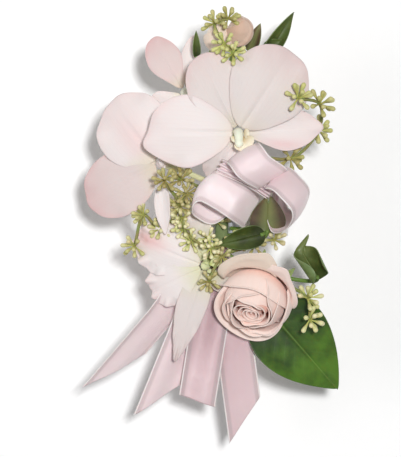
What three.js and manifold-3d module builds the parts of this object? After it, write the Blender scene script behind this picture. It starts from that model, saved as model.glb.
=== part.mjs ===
// A wrist corsage: orchids, a spray rose with two buds, seeded eucalyptus, leaves and a satin bow, wired
// to a taped stem that a metal clip holds on an elastic wristlet. Millimetres and degrees, +Z up, where
// the flowers face. The arm passes along Y, and the ribbon tails trail towards -Y. The origin is the
// middle of the wrist opening.
import * as THREE from "three";
import { mergeVertices } from "three/addons/utils/BufferGeometryUtils.js";
import Module from "manifold-3d";

const wasm = await Module();
wasm.setup();

// Driving dimensions

const fitGap = 0.3; // clearance between pieces that touch

const wristWidth = 56; // inside of the band, across the wrist
const wristHeight = 38; // inside of the band, through the wrist
const bandWidth = 18;
const bandThickness = 1.2;

const clipThickness = 0.7;
const clipLength = 15; // across the taped stem
const prongWidth = 4.5;
const prongSpacing = 11; // between the two prongs of one side, middle to middle
const prongWrap = 145; // degrees of the stem that a prong goes round, from its foot
const crimpWidth = 9; // tabs that hold the clip on the band's edges
const crimpReach = 3;

const stemRadius = 4; // taped bundle of wired stems
const stemTop = 52; // how far the bundle reaches from the clip, away from the tails
const stemFoot = 26; // and towards the tails
const sprayReach = 82; // from the clip to the last umbel of the top sprig
const tailReach = 88; // from the clip to the end of the longest tail

const tepalThickness = 0.8;
const columnRadius = 2;
const columnLength = 9;
const pedicelRadius = 1.2;

const rosePetalThickness = 0.6;
const roseRadius = 17; // to the outer petals' bellies
const roseHeight = 25;
const roseCoreRadius = 6;
const hipRadius = 4.2; // the green cup below the petals
const hipHeight = 7;
const roseStemRadius = 1.7;

const budLength = 15;
const budRadius = 5.4;
const budStemRadius = 1.1;

const leafThickness = 0.6;
const petioleRadius = 0.9;

const seedLength = 5.2;
const seedRadius = 1.05;
const seedStalk = 2; // from the middle of an umbel to its seeds
const nodeRadius = 1.3; // the knob of a twig that an umbel grows from
const twigRadius = 0.7;

const ribbonWidth = 16;
const ribbonThickness = 0.5;
const knotRadius = 3;
const knotLength = 7;
const knotWireRadius = 0.8;
const gatherWidth = 5; // ribbon pinched at the knot and at the tie
const tailSpacing = 1; // between the stacked tails where they are tied to the stem

const stemHeight = wristHeight / 2 + bandThickness + clipThickness + 2 * fitGap + stemRadius;

// Materials

const finish = (color, roughness, metalness = 0) =>
  new THREE.MeshStandardMaterial({ color, roughness, metalness });
const materials = {
  elastic: finish("#f3eeea", 0.8),
  clip: finish("#b9bcc0", 0.35, 1),
  tape: finish("#5d7042", 0.85),
  orchid: finish("#f0e3e1", 0.55),
  lip: finish("#efe0bd", 0.55),
  column: finish("#e3e6c4", 0.6),
  rose: finish("#f3d3c8", 0.6),
  sepal: finish("#7d9154", 0.6),
  leaf: finish("#3f6a2a", 0.4),
  seed: finish("#b5bd6a", 0.55),
  ribbon: finish("#eec6c8", 0.35),
};

// Geometry helpers

const { degToRad, lerp, smoothstep } = THREE.MathUtils;
const mergeDistance = 1e-4;

const vector = ([x, y, z]) => new THREE.Vector3(x, y, z);

/** A direction from its compass angle in the XY plane and its lift above it. */
function direction(turn, lift) {
  const level = Math.cos(degToRad(lift));
  return new THREE.Vector3(
    level * Math.cos(degToRad(turn)),
    level * Math.sin(degToRad(turn)),
    Math.sin(degToRad(lift)),
  );
}

/** A closed solid from a geometry, its shared vertices merged and its collapsed triangles left out. */
function solidOf(geometry) {
  const bare = new THREE.BufferGeometry();
  bare.setAttribute("position", geometry.getAttribute("position"));
  bare.setIndex(geometry.index);
  const merged = mergeVertices(bare, mergeDistance);
  const corners = [];
  for (let i = 0; i < merged.index.count; i += 3) {
    const [a, b, c] = merged.index.array.subarray(i, i + 3);
    if (a !== b && b !== c && c !== a) corners.push(a, b, c);
  }
  return new wasm.Manifold(
    new wasm.Mesh({
      numProp: 3,
      vertProperties: new Float32Array(merged.getAttribute("position").array),
      triVerts: new Uint32Array(corners),
    }),
  );
}

function geometryOf(solid) {
  const mesh = solid.getMesh();
  return new THREE.BufferGeometry()
    .setAttribute("position", new THREE.BufferAttribute(new Float32Array(mesh.vertProperties), 3))
    .setIndex(new THREE.BufferAttribute(new Uint32Array(mesh.triVerts), 1));
}

const joined = (geometries) => geometryOf(geometries.map(solidOf).reduce((all, next) => all.add(next)));

/** A closed geometry from a list of points and the triangles between them. */
function closedGeometry(points, triangles) {
  const geometry = new THREE.BufferGeometry().setFromPoints(points);
  geometry.setIndex(triangles);
  return geometry;
}

/** The square of (a, b), each from -1 to 1, pressed into a disc, so that a sheet gets a round outline. */
const pressed = (a, b) => [a * Math.sqrt(1 - (b * b) / 2), b * Math.sqrt(1 - (a * a) / 2)];

/** A sheet of even thickness about surface(along, across), where along runs from 0 to 1 and across from
 * -1 to 1. A blade is a sheet whose grid is pressed round. With grow, every face and edge stands that
 * much further out. */
function thickSheet(surface, { rows, columns, blade = false }, thickness, grow) {
  const width = columns + 1;
  const nudge = 1e-3;
  const middle = [];
  const normals = [];
  for (let i = 0; i <= rows; i++)
    for (let j = 0; j <= columns; j++) {
      const square = [(2 * i) / rows - 1, (2 * j) / columns - 1];
      const [a, across] = blade ? pressed(...square) : square;
      const along = (1 + a) / 2;
      const lengthwise = surface(along + nudge, across).sub(surface(along - nudge, across));
      const crosswise = surface(along, across + nudge).sub(surface(along, across - nudge));
      middle.push(surface(along, across));
      normals.push(lengthwise.cross(crosswise).normalize());
    }
  const rim = [];
  for (let j = 0; j < columns; j++) rim.push(j);
  for (let i = 0; i < rows; i++) rim.push(i * width + columns);
  for (let j = columns; j > 0; j--) rim.push(rows * width + j);
  for (let i = rows; i > 0; i--) rim.push(i * width);
  const edges = rim.map((k, n) => {
    const before = middle[rim.at(n - 1)];
    const after = middle[rim[(n + 1) % rim.length]];
    const outward = after.clone().sub(before).cross(normals[k]).normalize();
    return outward.multiplyScalar(-grow * Math.SQRT2).add(middle[k]);
  });
  rim.forEach((k, n) => middle[k].copy(edges[n]));
  const half = thickness / 2 + grow;
  const upper = middle.map((each, k) => each.clone().addScaledVector(normals[k], half));
  const lower = middle.map((each, k) => each.clone().addScaledVector(normals[k], -half));
  const count = upper.length;
  const triangles = [];
  const quad = (a, b, c, d) => triangles.push(a, b, c, a, c, d);
  for (let i = 0; i < rows; i++)
    for (let j = 0; j < columns; j++) {
      const corners = [i * width + j, (i + 1) * width + j, (i + 1) * width + j + 1, i * width + j + 1];
      // The diagonal points at the nearest corner of the grid, where the outline is flattest.
      if (i < rows / 2 !== j < columns / 2) corners.push(corners.shift());
      quad(...corners);
      quad(...corners.map((k) => k + count).reverse());
    }
  rim.forEach((k, n) => {
    const next = rim[(n + 1) % rim.length];
    quad(k, next, next + count, k + count);
  });
  return closedGeometry([...upper, ...lower], triangles);
}

/** A round bar along a curve. radiusAt takes the share of the length, from 0 to 1. */
function bar(curve, radiusAt, steps, sides, grow) {
  const frames = curve.computeFrenetFrames(steps, false);
  const points = [];
  for (let k = 0; k <= steps; k++) {
    const share = k / steps;
    const centre = curve.getPointAt(share);
    if (k === 0) centre.addScaledVector(frames.tangents[k], -grow);
    if (k === steps) centre.addScaledVector(frames.tangents[k], grow);
    const radius = radiusAt(share) + grow;
    for (let n = 0; n < sides; n++) {
      const angle = (2 * Math.PI * n) / sides;
      points.push(
        centre
          .clone()
          .addScaledVector(frames.normals[k], radius * Math.cos(angle))
          .addScaledVector(frames.binormals[k], radius * Math.sin(angle)),
      );
    }
  }
  const triangles = [];
  for (let k = 0; k < steps; k++)
    for (let n = 0; n < sides; n++) {
      const a = k * sides + n;
      const b = k * sides + ((n + 1) % sides);
      triangles.push(a, b, b + sides, a, b + sides, a + sides);
    }
  const last = steps * sides;
  for (let n = 1; n < sides - 1; n++) {
    triangles.push(0, n + 1, n);
    triangles.push(last, last + n, last + n + 1);
  }
  return closedGeometry(points, triangles);
}

/** A turned solid about +Z from its profile, a list of [radius, height] from the foot to the top, which
 * starts and ends on the axis. */
function turned(profile, segments, grow) {
  const middle = profile.length - 1;
  const points = profile.map(([radius, height], k) => {
    if (k === 0) return new THREE.Vector2(0, height - grow);
    if (k === middle) return new THREE.Vector2(0, height + grow);
    const [r0, h0] = profile[k - 1];
    const [r1, h1] = profile[k + 1];
    const outward = new THREE.Vector2(h1 - h0, r0 - r1).normalize();
    return new THREE.Vector2(radius, height).addScaledVector(outward, grow);
  });
  return new THREE.LatheGeometry(points, segments).rotateX(Math.PI / 2);
}

/** Turns a geometry made about +Z so that it stands along a direction, with its foot at a point. */
function stand(geometry, along, foot) {
  const turn = new THREE.Quaternion().setFromUnitVectors(new THREE.Vector3(0, 0, 1), along);
  return geometry.applyQuaternion(turn).translate(foot.x, foot.y, foot.z);
}

// The scene graph. Each piece is built twice: as itself, and grown by the fit gap as the room that it
// takes from the soft pieces listed after it.

const corsage = new THREE.Group();
const wristlet = new THREE.Group();
const spray = new THREE.Group();
spray.position.z = stemHeight;
corsage.add(wristlet, spray);

const pieces = [];
function addPiece(parent, name, material, make, yields) {
  const mesh = new THREE.Mesh(make(0), material);
  mesh.name = name;
  parent.add(mesh);
  pieces.push({ mesh, room: make(fitGap), yields });
  return mesh;
}
const addFixed = (parent, name, material, make) => addPiece(parent, name, material, make, false);
const addSoft = (parent, name, material, make) => addPiece(parent, name, material, make, true);

/** A group whose +Z leans from the vertical towards a compass angle. */
function leaningGroup(parent, at, lean, towards) {
  const group = new THREE.Group();
  const hinge = direction(towards + 90, 0);
  group.position.copy(vector(at));
  group.quaternion.setFromAxisAngle(hinge, degToRad(lean));
  parent.add(group);
  return group;
}

// Wristlet

/** The outline of a flat-topped loop about the wrist, which stands out from the opening by an offset. */
function loopOutline(path, offset) {
  const radius = wristHeight / 2 + offset;
  const flat = (wristWidth - wristHeight) / 2;
  path.moveTo(-flat, -radius);
  path.lineTo(flat, -radius);
  path.absarc(flat, 0, radius, -Math.PI / 2, Math.PI / 2, false);
  path.lineTo(-flat, radius);
  path.absarc(-flat, 0, radius, Math.PI / 2, (3 * Math.PI) / 2, false);
  return path;
}

/** A shape drawn in X and Z, given a depth along Y and centred there. */
function extrudedAlongY(shape, depth, curveSegments) {
  return new THREE.ExtrudeGeometry(shape, { depth, bevelEnabled: false, curveSegments })
    .rotateX(Math.PI / 2)
    .translate(0, depth / 2, 0);
}

addFixed(wristlet, "wrist_band", materials.elastic, (grow) => {
  const loop = loopOutline(new THREE.Shape(), bandThickness + grow);
  loop.holes.push(loopOutline(new THREE.Path(), -grow));
  return extrudedAlongY(loop, bandWidth + 2 * grow, 8);
});

/** One prong: a strip bent round the stem, from the plate under it to its tip. */
function prong(side, along, grow) {
  const inner = stemRadius + fitGap - grow;
  const outer = inner + clipThickness + 2 * grow;
  const foot = -Math.PI / 2;
  const tip = foot + degToRad(prongWrap);
  const strip = new THREE.Shape();
  strip.absarc(0, 0, outer, foot, tip, false);
  strip.absarc(0, 0, inner, tip, foot, true);
  const geometry = extrudedAlongY(strip, prongWidth + 2 * grow, 6);
  if (side < 0) geometry.rotateZ(Math.PI);
  return geometry.translate(0, along, stemHeight);
}

const box = (x, y, z) => new THREE.BoxGeometry(x, y, z);

addFixed(wristlet, "wristlet_clip", materials.clip, (grow) => {
  const bandTop = wristHeight / 2 + bandThickness;
  const thick = clipThickness + 2 * grow;
  const crimpY = bandWidth / 2 + fitGap + clipThickness / 2;
  const plateZ = bandTop + fitGap + clipThickness / 2;
  const hookZ = wristHeight / 2 - fitGap - clipThickness / 2;
  const plate = box(clipLength + 2 * grow, 2 * crimpY + thick, thick).translate(0, 0, plateZ);
  const metal = [plate];
  for (const side of [-1, 1]) {
    const wall = box(crimpWidth + 2 * grow, thick, plateZ - hookZ + thick);
    const hook = box(crimpWidth + 2 * grow, crimpReach + 2 * grow, thick);
    metal.push(wall.translate(0, side * crimpY, (plateZ + hookZ) / 2));
    metal.push(hook.translate(0, side * (crimpY + clipThickness / 2 - crimpReach / 2), hookZ));
    for (const along of [-1, 1]) metal.push(prong(side, (along * prongSpacing) / 2, grow));
  }
  return joined(metal);
});

// Taped stem: the wired stems, bound together with stem tape and rounded over at both ends

addFixed(spray, "taped_stem", materials.tape, (grow) => {
  const blunt = stemRadius * 0.7;
  const profile = [
    [0, -stemFoot],
    [blunt, -stemFoot],
    [stemRadius, stemRadius - blunt - stemFoot],
    [stemRadius, stemTop - stemRadius + blunt],
    [blunt, stemTop],
    [0, stemTop],
  ];
  return turned(profile, 14, grow).rotateX(-Math.PI / 2);
});

/** A stem from a point of the spray down to the taped bundle, which it meets at a place along it. */
function stemTo(from, leaving, along) {
  const joint = new THREE.Vector3(0, along, 0);
  const reach = from.distanceTo(joint) / 3;
  return new THREE.CubicBezierCurve3(
    from,
    from.clone().addScaledVector(leaving, reach),
    joint.clone().lerp(from, 1 / 3).setZ(stemRadius),
    joint,
  );
}

// Orchids

/** How far a point of a blade's section lies aside and how far it is lifted. The sides are lifted by the
 * cup, or rolled up through two angles, left and right, that ease towards the tip. */
function bladeSection({ width, cup = 0, roll }, along, reach) {
  const half = width / 2;
  if (!roll) return { aside: half * reach, lift: half * cup * reach * reach };
  const bent = degToRad(roll[reach > 0 ? 0 : 1]) * lerp(1, 0.7, along);
  const radius = half / bent;
  return { aside: radius * Math.sin(bent * reach), lift: radius * (1 - Math.cos(bent * reach)) };
}

/** A point of a blade that leaves its seat at an angle (rise) and bends in an arc (bend) as it goes out
 * along +X. Its half width follows outline(share along), and a tip may be drawn out from its end. */
function bladePoint({ length, rise, bend, tip = [0, 0, 0], ...section }, seat, outline) {
  const start = degToRad(rise);
  const arc = degToRad(bend);
  const drawnTip = vector(tip);
  return (along, across) => {
    const slope = start + arc * along;
    const { aside, lift } = bladeSection(section, along, across * outline(along));
    const drawn = smoothstep(along, 0.7, 1) ** 2 * Math.exp(-((across / 0.2) ** 2));
    return new THREE.Vector3(
      seat + (length * (Math.sin(slope) - Math.sin(start))) / arc - lift * Math.sin(slope),
      aside,
      (length * (Math.cos(start) - Math.cos(slope))) / arc + lift * Math.cos(slope),
    ).addScaledVector(drawnTip, drawn);
  };
}

const claw = 0.5; // a tepal's width at its seat, as a share of its full width
const tepalOutline = (along) => lerp(claw, 1, smoothstep(along, 0, 0.6));
const tepalSeat = columnRadius + fitGap;
const sepalWidest = 19; // narrower blades have fewer facets across
const sepalDrop = 1.3; // sepals sit behind the petals
const lipLift = 1.5; // and the lip in front of them

/** An orchid about its column. Each tepal has a compass turn in the flower and its own sizes. */
function orchid({ name, at, lean, towards, joins, column = columnLength, tepals, lip }) {
  const facing = direction(towards, 90 - lean);
  const centre = vector(at);
  const stem = stemTo(centre, facing.clone().negate(), joins);
  const length = stem.getLength();
  const taper = 2 * columnLength;
  const pedicel = (share) => lerp(columnRadius, pedicelRadius, smoothstep(share * length, 0, taper));
  const tip = centre.clone().addScaledVector(facing, column);
  const tipRadius = columnRadius * 0.6;
  const columnCurve = new THREE.LineCurve3(centre.clone().addScaledVector(facing, -fitGap), tip);
  addSoft(spray, `${name}_column`, materials.column, (grow) =>
    joined([
      bar(stem, pedicel, 5, 6, grow),
      bar(columnCurve, (share) => lerp(columnRadius, tipRadius, share * share), 2, 6, grow),
    ]),
  );
  const flower = leaningGroup(spray, at, lean, towards);
  const place = (blade, part, level, material) => {
    const point = bladePoint(blade, tepalSeat, tepalOutline);
    const grid = { rows: 6, columns: blade.width < sepalWidest ? 4 : 6, blade: true };
    const mesh = addSoft(flower, `${name}_${part}`, material, (grow) =>
      thickSheet(point, grid, tepalThickness, grow),
    );
    mesh.rotation.z = degToRad(blade.turn);
    mesh.position.z = level;
  };
  if (lip) place(lip, "lip", lipLift, materials.lip);
  for (const tepal of tepals) {
    const level = tepal.part.includes("sepal") ? -sepalDrop : 0;
    place(tepal, tepal.part, level, materials.orchid);
  }
}

const orchids = [
  {
    name: "front_orchid",
    at: [6.7, 34.4, 22],
    lean: 8,
    towards: -60,
    joins: 24,
    lip: { turn: -62, length: 6, width: 9, rise: 55, bend: -60, cup: 0.5 },
    tepals: [
      { part: "left_petal", turn: 174, length: 36, width: 31, rise: 14, bend: -42, cup: -0.12 },
      { part: "right_petal", turn: 57, length: 39, width: 35, rise: 16, bend: -40, cup: -0.12 },
      { part: "dorsal_sepal", turn: 117, length: 34, width: 24, rise: 6, bend: -26, cup: 0.1 },
      { part: "right_sepal", turn: 3, length: 32, width: 18, rise: 2, bend: -14, cup: 0.15 },
      { part: "lower_sepal", turn: 245, length: 24, width: 16, rise: -12, bend: -30, cup: 0.1 },
    ],
  },
  {
    name: "left_orchid",
    at: [-26, 21.8, 11],
    lean: 18,
    towards: 180,
    joins: 12,
    lip: { turn: 20, length: 6, width: 5.5, rise: 40, bend: -60, cup: 0.5 },
    tepals: [
      { part: "upper_petal", turn: 128, length: 33, width: 29, rise: 14, bend: -38, cup: -0.1 },
      { part: "lower_petal", turn: 208, length: 37, width: 27, rise: 14, bend: -40, cup: -0.1 },
      { part: "dorsal_sepal", turn: 168, length: 21, width: 16, rise: 4, bend: -20, cup: 0.1 },
      { part: "lower_sepal", turn: 271, length: 26, width: 9, rise: 12, bend: -14, cup: 0.4 },
      { part: "upper_sepal", turn: 62, length: 22, width: 14, rise: -8, bend: -16, cup: 0.1 },
    ],
  },
  {
    name: "lower_orchid",
    at: [-7.1, -21.4, 12],
    lean: 16,
    towards: 200,
    joins: -10,
    lip: { turn: 20, length: 6, width: 5.5, rise: 40, bend: -60, cup: 0.5 },
    tepals: [
      { part: "upper_petal", turn: 159, length: 32, width: 24, rise: 16, bend: -44, cup: -0.1 },
      { part: "lower_petal", turn: 206, length: 26, width: 21, rise: 18, bend: -46, cup: -0.1 },
      { part: "lower_sepal", turn: 249, length: 31, width: 15, rise: 15, bend: -22, cup: 0.1 },
      { part: "upper_sepal", turn: 112, length: 17, width: 14, rise: 4, bend: -20, cup: 0.1 },
      { part: "right_sepal", turn: 310, length: 14, width: 9, rise: -14, bend: -16, cup: 0.1 },
    ],
  },
  {
    name: "back_orchid",
    at: [-15.5, 52, 6],
    lean: 12,
    towards: 130,
    joins: 40,
    column: 4,
    tepals: [
      { part: "left_petal", turn: 124, length: 26, width: 17, rise: 14, bend: -30, cup: -0.1 },
      { part: "top_sepal", turn: 82, length: 23, width: 8, rise: 8, bend: -16, cup: 0.3 },
      { part: "lower_petal", turn: 210, length: 15, width: 13, rise: 6, bend: -16, cup: 0.1 },
    ],
  },
];

// Bow: a gathered knot bound with wire, the loops round it and the wire's leg down to the stem

const bowAt = [19.5, 13.5, 13];
const bowJoins = 4;
const loopMouth = 1.1; // how far a loop's end lies below the middle of the knot

addSoft(spray, "bow_knot", materials.ribbon, (grow) => {
  const waist = knotRadius * 0.75;
  const profile = [
    [0, -knotLength / 2],
    [waist, -knotLength / 2],
    [knotRadius, 0],
    [waist, knotLength / 2],
    [0, knotLength / 2],
  ];
  const leg = stemTo(vector(bowAt), new THREE.Vector3(0, 0, -1), bowJoins);
  const barrel = turned(profile, 10, grow).translate(...bowAt);
  return joined([barrel, bar(leg, () => knotWireRadius, 6, 5, grow)]);
});

/** A loop of ribbon that starts on top of the bow, rounds at its far end and comes back under itself to
 * the knot. It lies in the plane of its outward direction and its rise, with the ribbon's width square to
 * both, and sways aside as it opens. A full loop is round from its start on. */
function loopPoint({ turn, lift, roll, length, height, full, start, startWidth, sway, dive }) {
  const outward = direction(turn, lift);
  const level = direction(turn + 90, 0);
  const up = outward.clone().cross(level);
  const rolled = degToRad(roll);
  const width = level.clone().multiplyScalar(Math.cos(rolled)).addScaledVector(up, Math.sin(rolled));
  const rise = outward.clone().cross(width);
  const knot = vector(bowAt);
  const top = knot.clone().add(vector(start));
  const tied = knot.clone().addScaledVector(outward, knotRadius + fitGap);
  return (along, across) => {
    const round = Math.PI * along;
    const open = Math.max(Math.sin(round), 0);
    const narrow = along < 0.5 ? startWidth : gatherWidth;
    const half = lerp(narrow, ribbonWidth, smoothstep(open, 0, 0.45)) / 2;
    const root = top.clone().lerp(tied, smoothstep(along, 0.45, 1));
    root.z -= dive * (1 - smoothstep(along, 0, 0.16));
    return root
      .addScaledVector(outward, length * Math.pow(open, 1 + full))
      .addScaledVector(level, sway * smoothstep(open, 0, 0.8))
      .addScaledVector(rise, (height / 2) * Math.sin(2 * round) + loopMouth * Math.cos(round))
      .addScaledVector(width, half * across);
  };
}

// A loop starts at a place above the knot, where the ribbon is pinched to a width, and may dive there
// into the spray.
const loops = [
  {
    name: "bow_loop_centre",
    turn: 122,
    lift: 12,
    roll: 2,
    length: 17,
    height: 15,
    full: 0.3,
    start: [1.3, 1.2, 11.5],
    startWidth: 15,
    sway: 4.5,
    dive: 0,
  },
  {
    name: "bow_loop_right",
    turn: -36,
    lift: 2,
    roll: -38,
    length: 18,
    height: 19,
    full: 0.3,
    start: [1.3, 1.2, 11],
    startWidth: 15,
    sway: -4.9,
    dive: 0,
  },
  {
    name: "bow_loop_left",
    turn: 149,
    lift: 6,
    roll: 0,
    length: 25,
    height: 17,
    full: 0.4,
    start: [-6.7, -11.8, 4],
    startWidth: ribbonWidth,
    sway: 0,
    dive: 8,
  },
];
for (const loop of loops)
  addSoft(spray, loop.name, materials.ribbon, (grow) =>
    thickSheet(loopPoint(loop), { rows: 18, columns: 3 }, ribbonThickness, grow),
  );

// Rose: a green cup on its stem, a tight core, and petals that wind round it

const roseAt = [18.3, -28, 5];
const roseLean = 40;
const roseTowards = -116;
const roseJoins = -16;
const roseSeat = hipHeight * 0.55; // petals start at this height on the cup

const rose = leaningGroup(spray, roseAt, roseLean, roseTowards);
const roseFacing = direction(roseTowards, 90 - roseLean);
const roseFoot = vector(roseAt);

addSoft(spray, "rose_calyx", materials.sepal, (grow) => {
  const profile = [
    [0, 0],
    [roseStemRadius, 0],
    [hipRadius * 0.9, hipHeight * 0.3],
    [hipRadius, hipHeight * 0.6],
    [hipRadius * 0.7, hipHeight],
    [0, hipHeight],
  ];
  const hip = stand(turned(profile, 10, grow), roseFacing, roseFoot);
  const rooted = roseFoot.clone().addScaledVector(roseFacing, hipHeight * 0.3);
  const route = stemTo(rooted, roseFacing.clone().negate(), roseJoins);
  const stem = bar(route, () => roseStemRadius, 6, 7, grow);
  return joined([hip, stem]);
});

addSoft(rose, "rose_core", materials.rose, (grow) => {
  const top = roseHeight * 0.92;
  const foot = hipHeight + fitGap;
  const profile = [
    [0, foot],
    [roseCoreRadius * 0.62, foot],
    [roseCoreRadius * 0.95, lerp(foot, top, 0.3)],
    [roseCoreRadius, lerp(foot, top, 0.55)],
    [roseCoreRadius * 0.72, lerp(foot, top, 0.88)],
    [roseCoreRadius * 0.35, top],
    [0, lerp(foot, top, 0.86)],
  ];
  return turned(profile, 14, grow);
});

/** A petal that wraps the bloom's axis. It climbs from the cup, swells to its belly, winds outwards
 * from one side to the other so that its neighbours lap, curls in or out from its fold on, and may droop. */
function rosePetalPoint({ radius, height, spread, wind = 1, curl, fold, droop = 0 }) {
  const seat = hipRadius + fitGap + rosePetalThickness;
  return (along, across) => {
    const belly = Math.sin((Math.PI / 2) * Math.min(1, along * 2.1));
    const out = lerp(seat, radius, belly) + wind * across * belly + curl * smoothstep(along, fold, 1.05);
    const angle = (degToRad(spread) / 2) * across;
    const level = lerp(roseSeat, height, along) - droop * smoothstep(along, 0.6, 1);
    return new THREE.Vector3(out * Math.cos(angle), out * Math.sin(angle), level);
  };
}

// The inner petals close over the core, three outer ones close round them, and the last two droop open
// as guards behind the bloom's lean.
const innerPetals = [75, 195, 315].map((turn) => ({
  turn,
  radius: lerp(roseCoreRadius, roseRadius, 0.45),
  height: roseHeight,
  spread: 165,
  curl: -6.5,
  fold: 0.62,
}));
const domeHeight = roseHeight - 2.5;
const guardHeight = roseHeight - 12;
const outerPetals = [
  { turn: 72, radius: roseRadius - 2.8, height: domeHeight, spread: 170, wind: 0.7, curl: -3.2, fold: 0.6 },
  { turn: 318, radius: roseRadius - 2.6, height: domeHeight, spread: 135, wind: 0.9, curl: -2.8, fold: 0.6 },
  { turn: 230, radius: roseRadius - 1.6, height: roseHeight - 6, spread: 158, curl: 0.6, fold: 0.55 },
  { turn: 28, radius: roseRadius - 0.5, height: guardHeight, spread: 100, curl: 3.5, fold: 0.45, droop: 1.5 },
  { turn: 112, radius: roseRadius, height: guardHeight, spread: 105, curl: 5, fold: 0.45, droop: 2.5 },
];
function rosePetals(name, petals) {
  petals.forEach((petal, k) => {
    const mesh = addSoft(rose, `${name}_${k + 1}`, materials.rose, (grow) =>
      thickSheet(rosePetalPoint(petal), { rows: 6, columns: 8, blade: true }, rosePetalThickness, grow),
    );
    mesh.rotation.z = degToRad(petal.turn);
  });
}
rosePetals("rose_inner_petal", innerPetals);
rosePetals("rose_outer_petal", outerPetals);

// Front orchid stands before the other flowers, so its tepals are placed first

orchids.forEach(orchid);

// Buds

function bud({ name, at, lean, towards, joins }) {
  const facing = direction(towards, 90 - lean);
  const foot = vector(at);
  const cupHeight = budLength * 0.28;
  addSoft(spray, `${name}_calyx`, materials.sepal, (grow) => {
    const profile = [
      [0, -cupHeight],
      [budStemRadius, -cupHeight],
      [budRadius * 0.62, -cupHeight * 0.4],
      [budRadius * 0.66, 0],
      [0, 0],
    ];
    const cup = stand(turned(profile, 8, grow), facing, foot);
    const rooted = foot.clone().addScaledVector(facing, -cupHeight * 0.8);
    const stem = bar(stemTo(rooted, facing.clone().negate(), joins), () => budStemRadius, 5, 4, grow);
    return joined([cup, stem]);
  });
  addSoft(leaningGroup(spray, at, lean, towards), name, materials.rose, (grow) => {
    const profile = [
      [0, fitGap],
      [budRadius * 0.6, fitGap],
      [budRadius * 0.95, budLength * 0.25],
      [budRadius, budLength * 0.5],
      [budRadius * 0.7, budLength * 0.82],
      [0, budLength],
    ];
    return turned(profile, 12, grow);
  });
}

const buds = [
  { name: "left_bud", at: [-2.6, sprayReach - 13, 6], lean: 50, towards: 92, joins: 46 },
  { name: "right_bud", at: [6.5, sprayReach - 9, 8], lean: 38, towards: 70, joins: 48 },
];
buds.forEach(bud);

// Leaves

const leafOutline = (along) => 1.27 * Math.sqrt(1.04 - along); // widest near the foot, with a drawn-out tip

/** A leaf with its stalk: the blade leaves its foot at a compass turn, and the stalk goes on to the
 * taped stem. */
function leaf({ name, at, turn, joins, ...blade }) {
  const point = bladePoint(blade, 0, leafOutline);
  const foot = vector(at);
  const along = direction(turn, blade.rise);
  const placed = new THREE.Matrix4().makeRotationZ(degToRad(turn)).setPosition(foot);
  const grid = { rows: 6, columns: blade.roll ? 10 : 4, blade: true };
  addSoft(spray, name, materials.leaf, (grow) => {
    const sheet = thickSheet(point, grid, leafThickness, grow).applyMatrix4(placed);
    const rooted = foot.clone().addScaledVector(along, blade.length * 0.1);
    const stalk = bar(stemTo(rooted, along.clone().negate(), joins), () => petioleRadius, 5, 4, grow);
    return joined([sheet, stalk]);
  });
}

const leaves = [
  {
    name: "large_leaf",
    at: [17, -37, 4],
    joins: -19,
    turn: -49,
    length: 51,
    width: 33,
    rise: -4,
    bend: -16,
    cup: 0.2,
  },
  {
    name: "curled_leaf",
    at: [42.5, -27.5, 9],
    joins: -9,
    turn: 121,
    length: 17,
    width: 21,
    rise: 10,
    bend: -30,
    roll: [200, 130],
    tip: [2.1, -6.1, 1.3],
  },
  {
    name: "bow_leaf",
    at: [18, -8, 15],
    joins: -5,
    turn: 193,
    length: 20,
    width: 9.5,
    rise: 14,
    bend: -30,
    cup: 0.5,
  },
  {
    name: "loop_leaf",
    at: [19, -8, 13],
    joins: -8,
    turn: 88,
    length: 17,
    width: 13,
    rise: 8,
    bend: 10,
    cup: 0.2,
  },
  {
    name: "top_leaf",
    at: [18, sprayReach - 16, 6],
    joins: 44,
    turn: 58,
    length: 24,
    width: 8,
    rise: 6,
    bend: -20,
    cup: 0.4,
  },
];
leaves.forEach(leaf);

// Seeded eucalyptus

const knobSides = 6;
const knobRings = [28, 64, 104]; // degrees from the umbel's facing

/** An umbel: a knob at the end of a twig whose facets grow into club-shaped seeds, one on top and two
 * staggered rings below it. */
function umbel({ at, turn, lift }, grow) {
  const knob = nodeRadius + grow;
  const points = [new THREE.Vector3(0, 0, -knob)];
  for (const ring of knobRings)
    for (let n = 0; n < knobSides; n++)
      points.push(direction((360 * n) / knobSides, 90 - ring).setLength(knob));
  const corner = (ring, n) => 1 + ring * knobSides + (n % knobSides);
  const triangles = [];
  const growSeed = (foot) => {
    const middle = new THREE.Vector3();
    for (const k of foot) middle.addScaledVector(points[k], 1 / foot.length);
    const axis = middle.clone().normalize();
    const shoulders = [
      [seedStalk + seedLength * 0.45, seedRadius * 0.7 + grow],
      [seedStalk + seedLength * 0.82, seedRadius + grow],
    ];
    let ring = foot;
    for (const [distance, radius] of shoulders) {
      const next = foot.map((k) => {
        const spoke = points[k].clone().sub(middle).projectOnPlane(axis).setLength(radius);
        return points.push(spoke.addScaledVector(axis, distance)) - 1;
      });
      ring.forEach((k, n) => {
        const after = (n + 1) % ring.length;
        triangles.push(k, ring[after], next[after], k, next[after], next[n]);
      });
      ring = next;
    }
    const tip = points.push(axis.multiplyScalar(seedStalk + seedLength + grow)) - 1;
    ring.forEach((k, n) => triangles.push(k, ring[(n + 1) % ring.length], tip));
  };
  growSeed(Array.from({ length: knobSides }, (_, n) => corner(0, n)));
  for (let band = 0; band < 2; band++)
    for (let n = 0; n < knobSides; n++) {
      const facet = [corner(band, n), corner(band + 1, n), corner(band + 1, n + 1), corner(band, n + 1)];
      if (n % 2 === band) growSeed(facet);
      else triangles.push(facet[0], facet[1], facet[2], facet[0], facet[2], facet[3]);
    }
  for (let n = 0; n < knobSides; n++) triangles.push(corner(2, n), 0, corner(2, n + 1));
  return stand(closedGeometry(points, triangles), direction(turn, lift), vector(at));
}

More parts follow.
